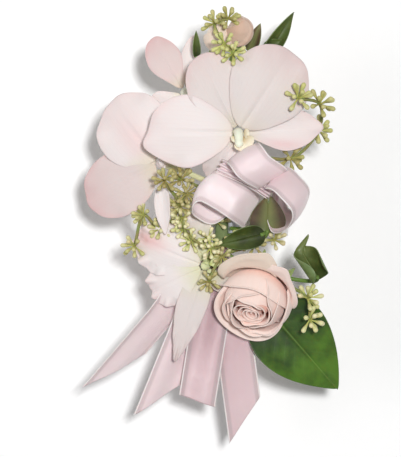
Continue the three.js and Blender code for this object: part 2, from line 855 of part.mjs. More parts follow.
/** A sprig: one twig that climbs from the taped stem through its umbels. */
function sprig({ name, joins, umbels }) {
  const route = [new THREE.Vector3(0, joins, 0), ...umbels.map(({ at }) => vector(at))];
  const twig = new THREE.CatmullRomCurve3(route, false, "centripetal");
  addSoft(spray, name, materials.seed, (grow) =>
    joined([
      bar(twig, () => twigRadius, 4 * umbels.length, 4, grow),
      ...umbels.map((each) => umbel(each, grow)),
    ]),
  );
}

const sprigs = [
  {
    name: "top_sprig",
    joins: 50,
    umbels: [
      { at: [4, sprayReach - 17, 17], turn: -20, lift: 60 },
      { at: [-3.5, sprayReach - 10, 20], turn: 170, lift: 60 },
      { at: [1, sprayReach, 18], turn: 80, lift: 35 },
    ],
  },
  {
    name: "upper_right_sprig",
    joins: 30,
    umbels: [
      { at: [30, 47, 13], turn: 120, lift: 30 },
      { at: [38, 46, 13], turn: 30, lift: 30 },
    ],
  },
  {
    name: "left_sprig",
    joins: 6,
    umbels: [
      { at: [-17, 15, 15], turn: 90, lift: 65 },
      { at: [-20, 4, 12], turn: 150, lift: 65 },
      { at: [-26, -3, 9], turn: 120, lift: 65 },
      { at: [-33, 0, 7], turn: 175, lift: 20 },
      { at: [-37, -13, 4], turn: 215, lift: 30 },
    ],
  },
  {
    name: "centre_sprig",
    joins: -4,
    umbels: [
      { at: [-3, -3, 13], turn: 60, lift: 70 },
      { at: [-11, 2, 12], turn: 170, lift: 65 },
      { at: [-16, -6, 12], turn: 200, lift: 60 },
      { at: [-5, -14, 15], turn: -40, lift: 60 },
      { at: [6, -11, 9], turn: 60, lift: 60 },
      { at: [22, -10.5, 11], turn: 40, lift: 55 },
    ],
  },
  {
    name: "right_sprig",
    joins: -20,
    umbels: [
      { at: [36, -35, 12], turn: 40, lift: 30 },
      { at: [37, -44, 12], turn: -20, lift: 35 },
    ],
  },
];
sprigs.forEach(sprig);

// Ribbon tails, stacked where they are tied to the stem and fanned out below it

const tieAt = [0, -13, stemRadius + fitGap + ribbonThickness / 2];

/** A tail: a ribbon gathered at the tie that opens to its full width, rolls about its length as it goes
 * out, and ends in a slanting cut. */
function tailPoint({ end, arch, roll, cut, order }) {
  const start = vector(tieAt).setZ(tieAt[2] + order * tailSpacing);
  const tip = vector(end);
  const path = new THREE.QuadraticBezierCurve3(start, start.clone().lerp(tip, 0.5).setZ(arch), tip);
  const length = path.getLength();
  return (along, across) => {
    const reach = along * (1 + (cut * across) / (2 * length));
    const share = THREE.MathUtils.clamp(reach, 0, 1);
    const heading = path.getTangent(share);
    const level = new THREE.Vector3(-heading.y, heading.x, 0).normalize();
    const up = heading.clone().cross(level);
    const turn = degToRad(roll) * smoothstep(share, 0.1, 0.6);
    const half = lerp(gatherWidth, ribbonWidth, smoothstep(share, 0, 0.4)) / 2;
    return path
      .getPoint(share)
      .addScaledVector(heading, (reach - share) * length)
      .addScaledVector(level, half * across * Math.cos(turn))
      .addScaledVector(up, half * across * Math.sin(turn));
  };
}

const tails = [
  { name: "ribbon_tail_far_left", end: [-46, 21 - tailReach, -6], arch: 2, roll: -44, cut: -27, order: 0 },
  { name: "ribbon_tail_left", end: [-27, 9 - tailReach, -6], arch: 3, roll: -24, cut: -20, order: 1 },
  { name: "ribbon_tail_right", end: [10, -tailReach, -8], arch: 3, roll: 6, cut: -20, order: 2 },
  { name: "ribbon_tail_middle", end: [-10.5, 8.5 - tailReach, -3], arch: 4, roll: 0, cut: 3, order: 3 },
];
for (const tail of tails)
  addSoft(spray, tail.name, materials.ribbon, (grow) =>
    thickSheet(tailPoint(tail), { rows: 9, columns: 3 }, ribbonThickness, grow),
  );

// Each piece gives way to the room of the pieces placed before it, as petals and leaves do when they are
// wired up

corsage.updateMatrixWorld(true);
const placedRooms = [];
for (const { mesh, room, yields } of pieces) {
  const world = mesh.matrixWorld;
  const whole = solidOf(mesh.geometry.clone().applyMatrix4(world));
  const fitted = yields ? placedRooms.reduce((rest, taken) => rest.subtract(taken), whole) : whole;
  if (fitted.volume() < whole.volume()) {
    const [largest] = fitted.decompose().sort((a, b) => b.volume() - a.volume());
    mesh.geometry = geometryOf(largest).applyMatrix4(world.clone().invert());
  }
  placedRooms.push(solidOf(room.applyMatrix4(world)));
}

export default corsage;
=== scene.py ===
import bmesh
import bpy
import numpy as np
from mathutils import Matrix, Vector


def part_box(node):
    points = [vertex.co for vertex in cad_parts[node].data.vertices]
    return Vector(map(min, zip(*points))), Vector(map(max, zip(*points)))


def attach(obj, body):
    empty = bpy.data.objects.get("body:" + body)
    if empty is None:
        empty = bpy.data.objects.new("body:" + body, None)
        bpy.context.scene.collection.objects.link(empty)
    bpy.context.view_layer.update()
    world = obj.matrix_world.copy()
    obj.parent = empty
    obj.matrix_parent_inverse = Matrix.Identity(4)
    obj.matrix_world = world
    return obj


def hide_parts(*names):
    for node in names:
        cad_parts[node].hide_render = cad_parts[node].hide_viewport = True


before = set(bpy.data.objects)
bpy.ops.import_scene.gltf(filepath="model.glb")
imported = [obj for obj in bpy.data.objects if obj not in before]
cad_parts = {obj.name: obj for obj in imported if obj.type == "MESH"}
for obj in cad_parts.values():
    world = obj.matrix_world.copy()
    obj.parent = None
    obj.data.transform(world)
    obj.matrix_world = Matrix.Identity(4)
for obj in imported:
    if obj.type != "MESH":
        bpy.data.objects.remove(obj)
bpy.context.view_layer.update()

# Sizes

millimetre = 0.001


def node_box(node):
    """A node's lowest and highest corner in millimetres."""
    return np.array(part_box(node)) / millimetre


band_low, band_high = node_box("wrist_band")
stem_low, stem_high = node_box("taped_stem")
floor_height = band_low[2]
stem_height = (stem_low[2] + stem_high[2]) / 2
stem_radius = (stem_high[2] - stem_low[2]) / 2
spray_origin = np.array([0, 0, stem_height])

fit_gap = 0.3
band_thickness = 1.2
tepal_thickness = 0.5
tepal_seat = 2.3
sepal_drop = -1.3
lip_lift = 1.5
column_radius = 2.0
column_length = 9.0
pedicel_radius = 1.2
rose_petal_thickness = 0.4
rose_radius = 17.0
rose_height = 25.0
hip_radius = 4.2
hip_height = 7.0
rose_stem_radius = 1.7
bud_length = 15.0
bud_radius = 5.4
bud_stem_radius = 1.1
leaf_thickness = 0.4
petiole_radius = 0.9
seed_length = 5.2
seed_radius = 1.05
seed_stalk = 2.0
twig_radius = 0.7
ribbon_width = 16.0
ribbon_thickness = 0.2
knot_radius = 3.0
knot_length = 7.0
knot_wire_radius = 0.8
gather_width = 5.0
tail_spacing = 1.0

# Numbers and directions


def smooth(value, low, high):
    """Rises from 0 at low to 1 at high, level at both ends."""
    share = np.clip((value - low) / (high - low), 0, 1)
    return share * share * (3 - 2 * share)


def between(low, high, share):
    """The value a share of the way from low to high."""
    return low + (high - low) * share


def unit(vectors):
    """Vectors of length 1 along the last axis."""
    return vectors / np.linalg.norm(vectors, axis=-1, keepdims=True)


def direction(turn, lift):
    """A unit vector from its compass angle in the XY plane and its lift above it."""
    turn, lift = np.radians(turn), np.radians(lift)
    return np.array([np.cos(lift) * np.cos(turn), np.cos(lift) * np.sin(turn), np.sin(lift)])


def rotation(axis, degrees):
    """The matrix of a turn about a unit axis: identity, plus sine times the axis's cross matrix, plus one
    less cosine times that matrix squared."""
    x, y, z = axis
    cross = np.array([[0, -z, y], [z, 0, -x], [-y, x, 0]])
    angle = np.radians(degrees)
    return np.eye(3) + np.sin(angle) * cross + (1 - np.cos(angle)) * cross @ cross


def leaning(lean, towards):
    """The turn that leans +Z from the vertical towards a compass angle."""
    return rotation(direction(towards + 90, 0), lean)


def spun(degrees):
    """A turn about +Z."""
    return rotation(np.array([0.0, 0.0, 1.0]), degrees)


def standing(along):
    """The shortest turn that takes +Z to a unit vector."""
    axis = np.cross([0.0, 0.0, 1.0], along)
    size = np.linalg.norm(axis)
    if size < 1e-9:
        return np.eye(3)
    return rotation(axis / size, np.degrees(np.arctan2(size, along[2])))


def bezier(corners, share):
    """Points of a Bezier curve of 3 or 4 corners at shares of its parameter."""
    corners = np.array(corners, float)
    share = np.asarray(share, float)[..., None]
    while len(corners) > 1:
        if corners.ndim == 2:
            corners = corners.reshape(len(corners), *[1] * (share.ndim - 1), 3)
        corners = between(corners[:-1], corners[1:], share)
    return corners[0]


def route(stops, steps):
    """A smooth line through a list of stops, one centripetal Catmull-Rom span between each two."""
    stops = np.array(stops, float)
    padded = np.vstack([2 * stops[0] - stops[1], stops, 2 * stops[-1] - stops[-2]])
    gaps = np.linalg.norm(np.diff(padded, axis=0), axis=1) ** 0.5
    share = np.linspace(0, 1, steps, endpoint=False)[:, None]
    spans = []
    for k in range(len(stops) - 1):
        before, start, end, after = padded[k:k + 4]
        d0, d1, d2 = gaps[k:k + 3]
        leave = d1 * ((start - before) / d0 - (end - before) / (d0 + d1) + (end - start) / d1)
        reach = d1 * ((end - start) / d1 - (after - start) / (d1 + d2) + (after - end) / d2)
        square = 3 * (end - start) - 2 * leave - reach
        cube = 2 * (start - end) + leave + reach
        spans.append(start + leave * share + square * share**2 + cube * share**3)
    return np.vstack([*spans, stops[-1:]])


def stem_route(start, leaving, joins, steps=24):
    """A stem from a point of the spray down to the taped bundle, which it meets at a place along it."""
    joint = np.array([0, joins, 0.0])
    reach = np.linalg.norm(start - joint) / 3
    near = between(joint, start, 1 / 3)
    near[2] = stem_radius
    return bezier([start, start + leaving * reach, near, joint], np.linspace(0, 1, steps))


# Grids and patches


def sheet_grid(rows, columns):
    """along from 0 to 1 down the rows and across from -1 to 1 over the columns."""
    return np.meshgrid(np.linspace(0, 1, rows + 1), np.linspace(-1, 1, columns + 1), indexing="ij")


def blade_grid(steps):
    """A square grid pressed into a disc, which gives along from 0 to 1 and across from -1 to 1."""
    a, b = np.meshgrid(*[np.linspace(-1, 1, steps + 1)] * 2, indexing="ij")
    return (1 + a * np.sqrt(1 - b * b / 2)) / 2, b * np.sqrt(1 - a * a / 2)


def patch(points, along, across, **marks):
    """One grid of a piece: its points, its UV from along and across, and marks, numbers that its finish
    reads."""
    shape = points.shape[:2]
    uv = np.stack([np.broadcast_to(along, shape), (1 + np.broadcast_to(across, shape)) / 2], -1)
    marks = {mark: np.broadcast_to(value, shape) for mark, value in marks.items()}
    return {"points": points, "uv": uv, "marks": marks}


def tube(path, radius, sides=12, **marks):
    """A round bar: rings of a radius about a path, square to it, closed by a point at each end."""
    path = np.asarray(path, float)
    tangents = unit(np.gradient(path, axis=0))
    aside = np.linalg.svd(tangents)[2][-1]
    normals = unit(np.cross(tangents, aside))
    others = np.cross(tangents, normals)
    ends = [0, *range(len(path)), len(path) - 1]
    rings = np.broadcast_to(radius, len(path))[ends].copy()
    rings[[0, -1]] = 0
    angle = np.linspace(0, 2 * np.pi, sides + 1)
    ring = np.cos(angle)[:, None] * normals[ends][:, None] + np.sin(angle)[:, None] * others[ends][:, None]
    points = path[ends][:, None] + rings[:, None, None] * ring
    along = np.linspace(0, 1, len(ends))[:, None]
    return patch(points, along, np.linspace(-1, 1, sides + 1)[None], **marks)


def turned(radius, height, sides=24, **marks):
    """A solid of revolution about +Z from arrays of radius and height along its profile."""
    angle = np.linspace(0, 2 * np.pi, sides + 1)
    radius, height = np.asarray(radius)[:, None], np.asarray(height)[:, None]
    points = np.stack(np.broadcast_arrays(radius * np.cos(angle), radius * np.sin(angle), height), -1)
    along = np.linspace(0, 1, len(radius))[:, None]
    return patch(points, along, np.linspace(-1, 1, sides + 1)[None], **marks)


def moved(each, turn=None, at=(0, 0, 0)):
    """A patch turned by a matrix and set at a point."""
    points = each["points"] if turn is None else each["points"] @ turn.T
    return {**each, "points": points + np.asarray(at, float)}


def normals_of(points):
    """Unit normals of a grid, the cross product of its two gradients."""
    return unit(np.cross(np.gradient(points, axis=0), np.gradient(points, axis=1)))


# The marks that finishes read: the first is a tint, and on the ribbon painted shade; the second a deeper
# colour, on the rose partly painted shade.
mark_names = ("blush", "throat")


def piece(name, patches, finish, thickness=0.0, replaces=(), under=None):
    """A finished piece: the patches in one mesh, joined where they meet. A sheet has a thickness, and may
    have another finish on its under side."""
    points, quads, uvs = [], [], []
    marks = {mark: [] for mark in mark_names}
    start = 0
    for each in patches:
        rows, columns = each["points"].shape[:2]
        count = rows * columns
        index = start + np.arange(count).reshape(rows, columns)
        corners = [index[:-1, :-1], index[1:, :-1], index[1:, 1:], index[:-1, 1:]]
        quads.append(np.stack(corners, -1).reshape(-1, 4))
        points.append(each["points"].reshape(-1, 3))
        uvs.append(each["uv"].reshape(-1, 2))
        for mark in mark_names:
            marks[mark].append(np.broadcast_to(each["marks"].get(mark, 0.0), (rows, columns)).ravel())
        start += count
    corners = np.concatenate(quads)
    mesh = bpy.data.meshes.new(name)
    mesh.from_pydata(np.concatenate(points) * millimetre, [], corners)
    layer = mesh.uv_layers.new(name="UVMap")
    layer.data.foreach_set("uv", np.concatenate(uvs)[corners.ravel()].ravel().astype(np.float32))
    for mark in mark_names:
        values = mesh.attributes.new(mark, "FLOAT", "POINT").data
        values.foreach_set("value", np.concatenate(marks[mark]).astype(np.float32))
    seal(mesh, outward=not thickness)
    mesh.shade_smooth()
    mesh.materials.append(finish)
    made = bpy.data.objects.new(name, mesh)
    bpy.context.scene.collection.objects.link(made)
    if thickness:
        solidify = made.modifiers.new("thickness", "SOLIDIFY")
        solidify.thickness = thickness * millimetre
        solidify.offset = 0
        if under:
            mesh.materials.append(under)
            solidify.material_offset = 1
            solidify.material_offset_rim = 1
    if replaces:
        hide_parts(*replaces)
    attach(made, "root")
    return made


merge_distance = 0.002
shortest_edge = 0.0005


def seal(mesh, outward):
    """Merges the points where grids close on themselves, and turns a closed body's faces outwards."""
    body = bmesh.new()
    body.from_mesh(mesh)
    bmesh.ops.remove_doubles(body, verts=body.verts, dist=merge_distance * millimetre)
    bmesh.ops.dissolve_degenerate(body, edges=body.edges, dist=shortest_edge * millimetre)
    if outward:
        bmesh.ops.recalc_face_normals(body, faces=body.faces)
    body.to_mesh(mesh)
    body.free()


# Shader maths


class Value:
    """A number, colour or vector that a finish works out. Sums and products of values add Math nodes."""

    def __init__(self, finish, socket):
        self.finish = finish
        self.socket = socket

    def __add__(self, other):
        return self.finish.math("ADD", self, other)

    def __sub__(self, other):
        return self.finish.math("SUBTRACT", self, other)

    def __rsub__(self, other):
        return self.finish.math("SUBTRACT", other, self)

    def __mul__(self, other):
        return self.finish.math("MULTIPLY", self, other)

    __radd__ = __add__
    __rmul__ = __mul__


class Finish:
    """A material, with its Principled shader and the values that feed it."""

    def __init__(self, name):
        self.material = bpy.data.materials.new(name)
        self.material.use_nodes = True
        self.tree = self.material.node_tree
        self.shader = self.tree.nodes["Principled BSDF"]

    def feed(self, socket, value):
        """Links a value to a socket, or sets a plain number, colour or vector on it."""
        if isinstance(value, Value):
            self.tree.links.new(value.socket, socket)
        else:
            socket.default_value = value

    def node(self, kind, settings=None, sockets=None, output=0):
        """Any node: its type, its settings, which are set first, and the values of its sockets."""
        made = self.tree.nodes.new("ShaderNode" + kind)
        for setting, value in (settings or {}).items():
            setattr(made, setting, value)
        for socket, value in (sockets or {}).items():
            self.feed(made.inputs[socket], value)
        return Value(self, made.outputs[output])

    def math(self, operation, first, second):
        """A Math node's operation on two values."""
        return self.node("Math", {"operation": operation}, {0: first, 1: second})

    def wave(self, value):
        """From 0 to 1 and back over each whole number."""
        return self.math("PINGPONG", value * 2, 1)

    def ramp(self, value, low, high):
        """Rises smoothly from 0 at low to 1 at high."""
        sockets = {"Value": value, "From Min": low, "From Max": high}
        return self.node("MapRange", {"interpolation_type": "SMOOTHSTEP"}, sockets)

    def mix(self, share, first, second):
        """A colour a share of the way from the first to the second."""
        return self.node("Mix", {"data_type": "RGBA"}, {0: share, 6: first, 7: second}, output=2)

    def mark(self, name):
        """A number that the piece holds at each point."""
        return self.node("Attribute", {"attribute_name": name}, output=2)

    def along_across(self):
        """The two numbers of the piece's UV map."""
        split = self.tree.nodes.new("ShaderNodeSeparateXYZ")
        self.feed(split.inputs[0], self.node("UVMap", {"uv_map": "UVMap"}))
        return Value(self, split.outputs[0]), Value(self, split.outputs[1])

    def noise(self, scale, detail=2.0, stretch=(1, 1, 1)):
        """Noise in the piece's own space, in features to the metre."""
        place = self.node("TexCoord", output=3)
        place = self.node("Mapping", {}, {"Vector": place, "Scale": stretch})
        return self.node("TexNoise", {}, {"Vector": place, "Scale": scale, "Detail": detail})

    def bump(self, height, depth):
        """A normal from a height between 0 and 1, with its depth in millimetres."""
        return self.node("Bump", {}, {"Height": height, "Distance": depth * millimetre})

    def done(self, **sockets):
        """Feeds the shader's sockets, named with underscores for spaces, and gives the material."""
        for socket, value in sockets.items():
            self.feed(self.shader.inputs[socket.replace("_", " ")], value)
        return self.material


def colour(code):
    """A hex colour as it is seen, as linear red, green, blue and alpha."""
    seen = np.array([int(code[k:k + 2], 16) for k in (1, 3, 5)]) / 255
    linear = np.where(seen <= 0.04045, seen / 12.92, ((seen + 0.055) / 1.055) ** 2.4)
    return (*linear.tolist(), 1.0)


# Finishes


def petal_finish(name, pale, pink, deep_and_shade, veins, roughness=0.55, sheen=0.15):
    """A petal: pale, with pink where its blush is marked and a deeper colour in its throat, fine veins that
    fan out along it, and a soft translucence."""
    finish = Finish(name)
    across = finish.along_across()[1]
    mottle = finish.noise(scale=170, detail=3)
    fleck = finish.noise(scale=900, detail=2)
    fan = finish.wave(across * veins + mottle * 0.5)
    vein = finish.ramp(fan, low=0.22, high=0.0)
    blush = finish.mark("blush") * (0.75 + mottle * 0.5)
    base = finish.mix(blush, colour(pale), colour(pink))
    base = finish.mix(finish.mark("throat") * (0.8 + mottle * 0.4), base, colour(deep_and_shade))
    base = finish.mix(vein * 0.05, base, colour(pink))
    relief = mottle * 0.6 + vein * 0.2 + fleck * 0.25
    return finish.done(
        Base_Color=base,
        Roughness=roughness + fleck * 0.12,
        Subsurface_Weight=0.12,
        Subsurface_Radius=(1.0, 0.6, 0.5),
        Subsurface_Scale=0.002,
        Sheen_Weight=sheen,
        Sheen_Roughness=0.5,
        Specular_IOR_Level=0.2,
        Normal=finish.bump(relief, depth=0.15),
    )


def leaf_finish(name, dark, bright, rib, pairs, rib_width=0.03):
    """A leaf: dark and glossy, brighter between its side veins, with a pale midrib. Painted light brightens
    it towards its tip, broken by a mottle.
    """
    finish = Finish(name)
    along, across = finish.along_across()
    mottle = finish.noise(scale=140, detail=3)
    fine = finish.noise(scale=1500, detail=3)
    offset = finish.math("ABSOLUTE", across - 0.5, 0)
    midrib = finish.ramp(offset, low=rib_width, high=0)
    side = finish.wave((along - offset * 0.55) * pairs + mottle * 0.15)
    veins = finish.ramp(side, low=0.16, high=0.02) * finish.ramp(offset, low=0.5, high=0.3)
    lit = finish.ramp(mottle + along * 0.55, low=0.5, high=1.1)
    base = finish.mix(lit, colour(dark), colour(bright))
    base = finish.mix(veins * 0.02 + midrib * 0.35, base, colour(rib))
    base = finish.mix(finish.mark("blush"), base, colour(rib))
    relief = 1 - veins * 0.1 - midrib * 0.5 + fine * 0.25
    return finish.done(
        Base_Color=base,
        Roughness=0.36 + fine * 0.16,
        Specular_IOR_Level=0.25,
        Coat_Weight=0.06,
        Coat_Roughness=0.25,
        Subsurface_Weight=0.05,
        Subsurface_Scale=0.002,
        Normal=finish.bump(relief, depth=0.15),
    )


def green_finish(name, stalk, body, tip, dark, roughness):
    """Stalks, cups and seeds: two mottled greens, flecked, that turn to a tip colour where the blush is
    marked and to a dark one where the throat is."""
    finish = Finish(name)
    mottle = finish.noise(scale=420, detail=3)
    fleck = finish.noise(scale=2200, detail=2)
    base = finish.mix(finish.ramp(mottle, low=0.3, high=0.75), colour(body), colour(stalk))
    base = finish.mix(finish.mark("blush"), base, colour(tip))
    base = finish.mix(finish.mark("throat"), base, colour(dark))
    return finish.done(
        Base_Color=base,
        Roughness=roughness + fleck * 0.15,
        Subsurface_Weight=0.1,
        Subsurface_Scale=0.0015,
        Normal=finish.bump(mottle + fleck * 0.5, depth=0.12),
    )


# Shares of the ribbon's width, on each side: the sheer edge, and the selvedge that ends it
sheer_edge = 0.14
selvedge = 0.035


def ribbon_finish():
    """Ribbon: a satin middle whose threads run across it, sheer edges of open weave, and a white selvedge,
    darkened to a deeper pink as painted shade where the piece's first mark is set. Its UV counts ribbon
    widths along it."""
    weft_threads, warp_threads = 90, 110
    finish = Finish("ribbon_satin")
    along, across = finish.along_across()
    inset = 0.5 - finish.math("ABSOLUTE", across - 0.5, 0)
    satin = finish.ramp(inset, low=sheer_edge - 0.04, high=sheer_edge + 0.03)
    edge = finish.ramp(inset, low=selvedge + 0.008, high=selvedge - 0.008)
    threads = finish.wave(along * weft_threads)
    warp = finish.wave(across * warp_threads)
    slub = finish.noise(scale=700, detail=3, stretch=(1, 1, 0.3))
    shade = finish.noise(scale=90, detail=2)
    # The piece's first mark turns cloth and sheer edges to a deeper, greyer pink: painted shade where the
    # ribbon lies in shade.
    deep_and_shade = finish.mark("blush")
    cloth = finish.mix(shade, colour("#f3dde0"), colour("#f7e9e9"))
    cloth = finish.mix(deep_and_shade, cloth, colour("#c3a3a8"))
    sheer = finish.mix(deep_and_shade, colour("#edd9da"), colour("#bba6a9"))
    base = finish.mix(satin, sheer, cloth)
    base = finish.mix(edge * 0.8, base, colour("#fbf3f1"))
    solid = finish.math("MAXIMUM", satin, edge)
    mesh = finish.math("MAXIMUM", threads, warp)
    alpha = solid + (1 - solid) * (0.8 + 0.2 * finish.ramp(mesh, low=0.55, high=0.95))
    relief = satin * (threads * 0.5 + slub * 0.8) + (1 - satin) * mesh + edge + shade * 12
    return finish.done(
        Base_Color=base,
        Roughness=0.5 - satin * 0.14 + slub * 0.08,
        Specular_IOR_Level=0.7,
        Alpha=alpha,
        Sheen_Weight=0.25,
        Sheen_Roughness=0.4,
        Anisotropic=0.5,
        Subsurface_Weight=0.08,
        Subsurface_Scale=0.001,
        Normal=finish.bump(relief, depth=0.05),
    )


def elastic_finish():
    """Woven elastic: ribs along the band, crossed by fine weft threads."""
    weft_threads = 260
    finish = Finish("woven_elastic")
    along = finish.along_across()[0]
    weft = finish.wave(along * weft_threads)
    fuzz = finish.noise(scale=2500, detail=3)
    base = finish.mix(weft * 0.5 + fuzz * 0.4, colour("#e4ddd8"), colour("#faf6f3"))
    return finish.done(
        Base_Color=base,
        Roughness=0.75 + fuzz * 0.15,
        Sheen_Weight=0.3,
        Normal=finish.bump(weft + fuzz * 0.4, depth=0.12),
    )


def steel_finish():
    """Stamped steel: bright, with fine rolling lines and faint smudges."""
    finish = Finish("stamped_steel")
    lines = finish.noise(scale=4000, detail=2, stretch=(0.03, 1, 1))
    smudge = finish.noise(scale=300, detail=3)
    base = finish.mix(lines * 0.5 + smudge * 0.3, colour("#a9adb2"), colour("#d3d6d9"))
    return finish.done(
        Base_Color=base,
        Metallic=1.0,
        Roughness=0.24 + lines * 0.12 + smudge * 0.1,
        Normal=finish.bump(lines, depth=0.02),
    )


def tape_finish():
    """Stem tape: waxed crepe paper, crinkled across its length."""
    finish = Finish("stem_tape")
    crinkle = finish.noise(scale=1800, detail=3, stretch=(1, 0.35, 1))
    patchy = finish.noise(scale=250, detail=3)
    base = finish.mix(patchy, colour("#4a5c33"), colour("#7b8d58"))
    base = finish.mix(crinkle * 0.35, base, colour("#9aa878"))
    return finish.done(
        Base_Color=base,
        Roughness=0.7 + crinkle * 0.15,
        Normal=finish.bump(crinkle, depth=0.2),
    )


def floor_finish():
    """A plain pale floor with a faint tooth."""
    finish = Finish("pale_floor")
    tooth = finish.noise(scale=300, detail=2)
    base = finish.mix(tooth, colour("#fefefe"), colour("#ffffff"))
    return finish.done(Base_Color=base, Roughness=0.9, Specular_IOR_Level=0.1)


orchid_petal = petal_finish("orchid_petal", "#e8dedc", "#e6bcbc", "#d3d3a6", veins=17)
# A greyer copy of the petal finish: painted shade for some of the petals.
dull_petal = petal_finish("dull_petal", "#d9cfcc", "#dcb4b4", "#cfcfa4", veins=17)
orchid_lip = petal_finish("orchid_lip", "#ece3cd", "#cdb183", "#a98a4e", veins=11, roughness=0.5, sheen=0.1)
green_throat = petal_finish(
    "green_throat", "#d8dcae", "#c2c987", "#a3ae5e", veins=7, roughness=0.5, sheen=0.1
)
orchid_column = petal_finish(
    "orchid_column", "#eef0dc", "#d9dcb0", "#b7c07c", veins=7, roughness=0.45, sheen=0.1
)
# The rose's deeper colour is partly its own and partly painted shade in the recesses of the bloom.
rose_petal = petal_finish("rose_petal", "#efd9d0", "#eec3b6", "#efa891", veins=15, sheen=0.3)
tan_bud = petal_finish("tan_bud", "#d9c2b1", "#cba995", "#b98a72", veins=9, sheen=0.3)
rose_guard = petal_finish("rose_guard", "#e6d4c4", "#e8c9b9", "#e0b09a", veins=15, sheen=0.3)
glossy_leaf = leaf_finish("glossy_leaf", "#1f380b", "#4a6f1d", "#7c9a4c", pairs=9)
shaded_leaf = leaf_finish("shaded_leaf", "#26300f", "#4c5c26", "#6f7d42", pairs=6)
olive_leaf = leaf_finish("olive_leaf", "#39481d", "#626f39", "#8b985e", pairs=8)
# Dark brown: the colour of a withered leaf, and on the loop leaf painted shade inside the mouth of the right
# loop.
withered_and_shade_leaf = leaf_finish("withered_and_shade_leaf", "#40362a", "#65533f", "#8fa55c", pairs=4, rib_width=0.4)
under_leaf = leaf_finish("under_leaf", "#5f7443", "#87996a", "#a3b184", pairs=9)
calyx_green = green_finish("calyx_green", "#8ca35e", "#6f8548", "#b7c384", "#5d6b36", roughness=0.5)
seed_green = green_finish("seed_green", "#c4c676", "#b0b660", "#e8e1b8", "#9c8d52", roughness=0.42)
twig_brown = green_finish("twig_brown", "#8b7f4c", "#7d8a4a", "#a58a58", "#6b5a34", roughness=0.6)
satin_ribbon = ribbon_finish()

# Wristlet: the elastic band, the clip and the taped stem


def band():
    """The band: a ribbed strip with rounded edges, carried round a loop of two flats and two half circles. A
    rib is a cosine across the strip."""
    rib_pitch, rib_depth = 1.5, 0.14
    arc_steps, flat_steps = 49, 16
    half_height = (band_high[2] - band_low[2]) / 2
    flat = (band_high[0] - band_low[0]) / 2 - half_height
    half_width = (band_high[1] - band_low[1]) / 2
    middle = half_height - band_thickness / 2
    arc = np.linspace(-90, 90, arc_steps)
    run = np.linspace(flat, -flat, flat_steps + 2)[1:-1]
    up, down = np.full(flat_steps, 90), np.full(flat_steps, 270)
    facing = np.radians(np.concatenate([arc, up, arc + 180, down, [-90]]))
    centre = np.concatenate([np.full(arc_steps, flat), run, np.full(arc_steps, -flat), -run, [flat]])
    edge = np.linspace(-90, 90, 9)[1:-1]
    across = np.linspace(-1, 1, 91) * (half_width - band_thickness / 2)
    ribs = band_thickness / 2 - rib_depth * (0.5 + 0.5 * np.cos(across * 2 * np.pi / rib_pitch))
    rounded = np.radians(edge)
    round_out = half_width - band_thickness / 2 + band_thickness / 2 * np.cos(rounded)
    round_up = band_thickness / 2 * np.sin(rounded)
    width = np.concatenate([across, round_out, across[::-1], -round_out, across[:1]])
    rise = np.concatenate([ribs, -round_up, -ribs, round_up, ribs[:1]])
    reach = middle + rise[None]
    points = np.stack(
        np.broadcast_arrays(
            centre[:, None] + reach * np.cos(facing)[:, None],
            width[None],
            reach * np.sin(facing)[:, None],
        ),
        -1,
    )
    along = np.linspace(0, 1, len(facing))[:, None]
    strip = patch(points, along, np.linspace(-1, 1, len(width))[None])
    piece("elastic_band", [strip], elastic_finish(), replaces=["wrist_band"])


def clip():
    """The clip keeps its solid, with a steel finish."""
    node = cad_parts["wristlet_clip"]
    node.data.materials.clear()
    node.data.materials.append(steel_finish())


def taped_stem():
    """The bundle: a bar along Y, lobed by the stems inside it, whose tape winds round in a spiral. Each turn
    of the tape steps up over the last."""
    tape_pitch, lap_height = 6.5, 0.22
    stem_count, lobe_depth, crease_depth = 5, 0.12, 0.05
    foot, top = stem_low[1], stem_high[1]
    skin = stem_radius - 0.2
    cap = np.radians(np.linspace(0, 90, 10))
    ends = stem_radius * np.cos(cap)
    place = np.concatenate([foot + stem_radius - ends, np.linspace(foot, top, 201)[11:-11]])
    place = np.concatenate([place, top - stem_radius + ends[::-1]])
    taper = np.ones(len(place))
    taper[:10] = np.sin(cap)
    taper[-10:] = np.sin(cap[::-1])
    angle = np.linspace(0, 2 * np.pi, 65)
    wound = angle[None] / (2 * np.pi) + place[:, None] / tape_pitch
    lap = wound - np.floor(wound)
    step = lap_height * smooth(lap, 0, 0.9) * (1 - smooth(lap, 0.94, 1))
    lobes = lobe_depth * np.cos(stem_count * angle + 0.05 * place[:, None])
    crease = crease_depth * np.sin(23 * angle + 2.1 * place[:, None]) * np.sin(1.3 * place[:, None])
    radius = taper[:, None] * (skin - 0.2 + step + lobes + crease)
    points = np.stack(
        np.broadcast_arrays(radius * np.cos(angle), place[:, None], radius * np.sin(angle)), -1
    )
    along = np.linspace(0, 1, len(place))[:, None]
    wrap = patch(points + spray_origin, along, np.linspace(-1, 1, len(angle))[None])
    piece("taped_bundle", [wrap], tape_finish(), replaces=["taped_stem"])


# Orchids


def tepal_outline(along, base=0.5):
    """A share of a tepal's width at its seat, and its full width from the middle on."""
    return between(base, 1, smooth(along, 0, 0.6))


def leaf_outline(along):
    """Widest near the foot, with a drawn-out tip."""
    return 1.27 * np.sqrt(1.04 - along)


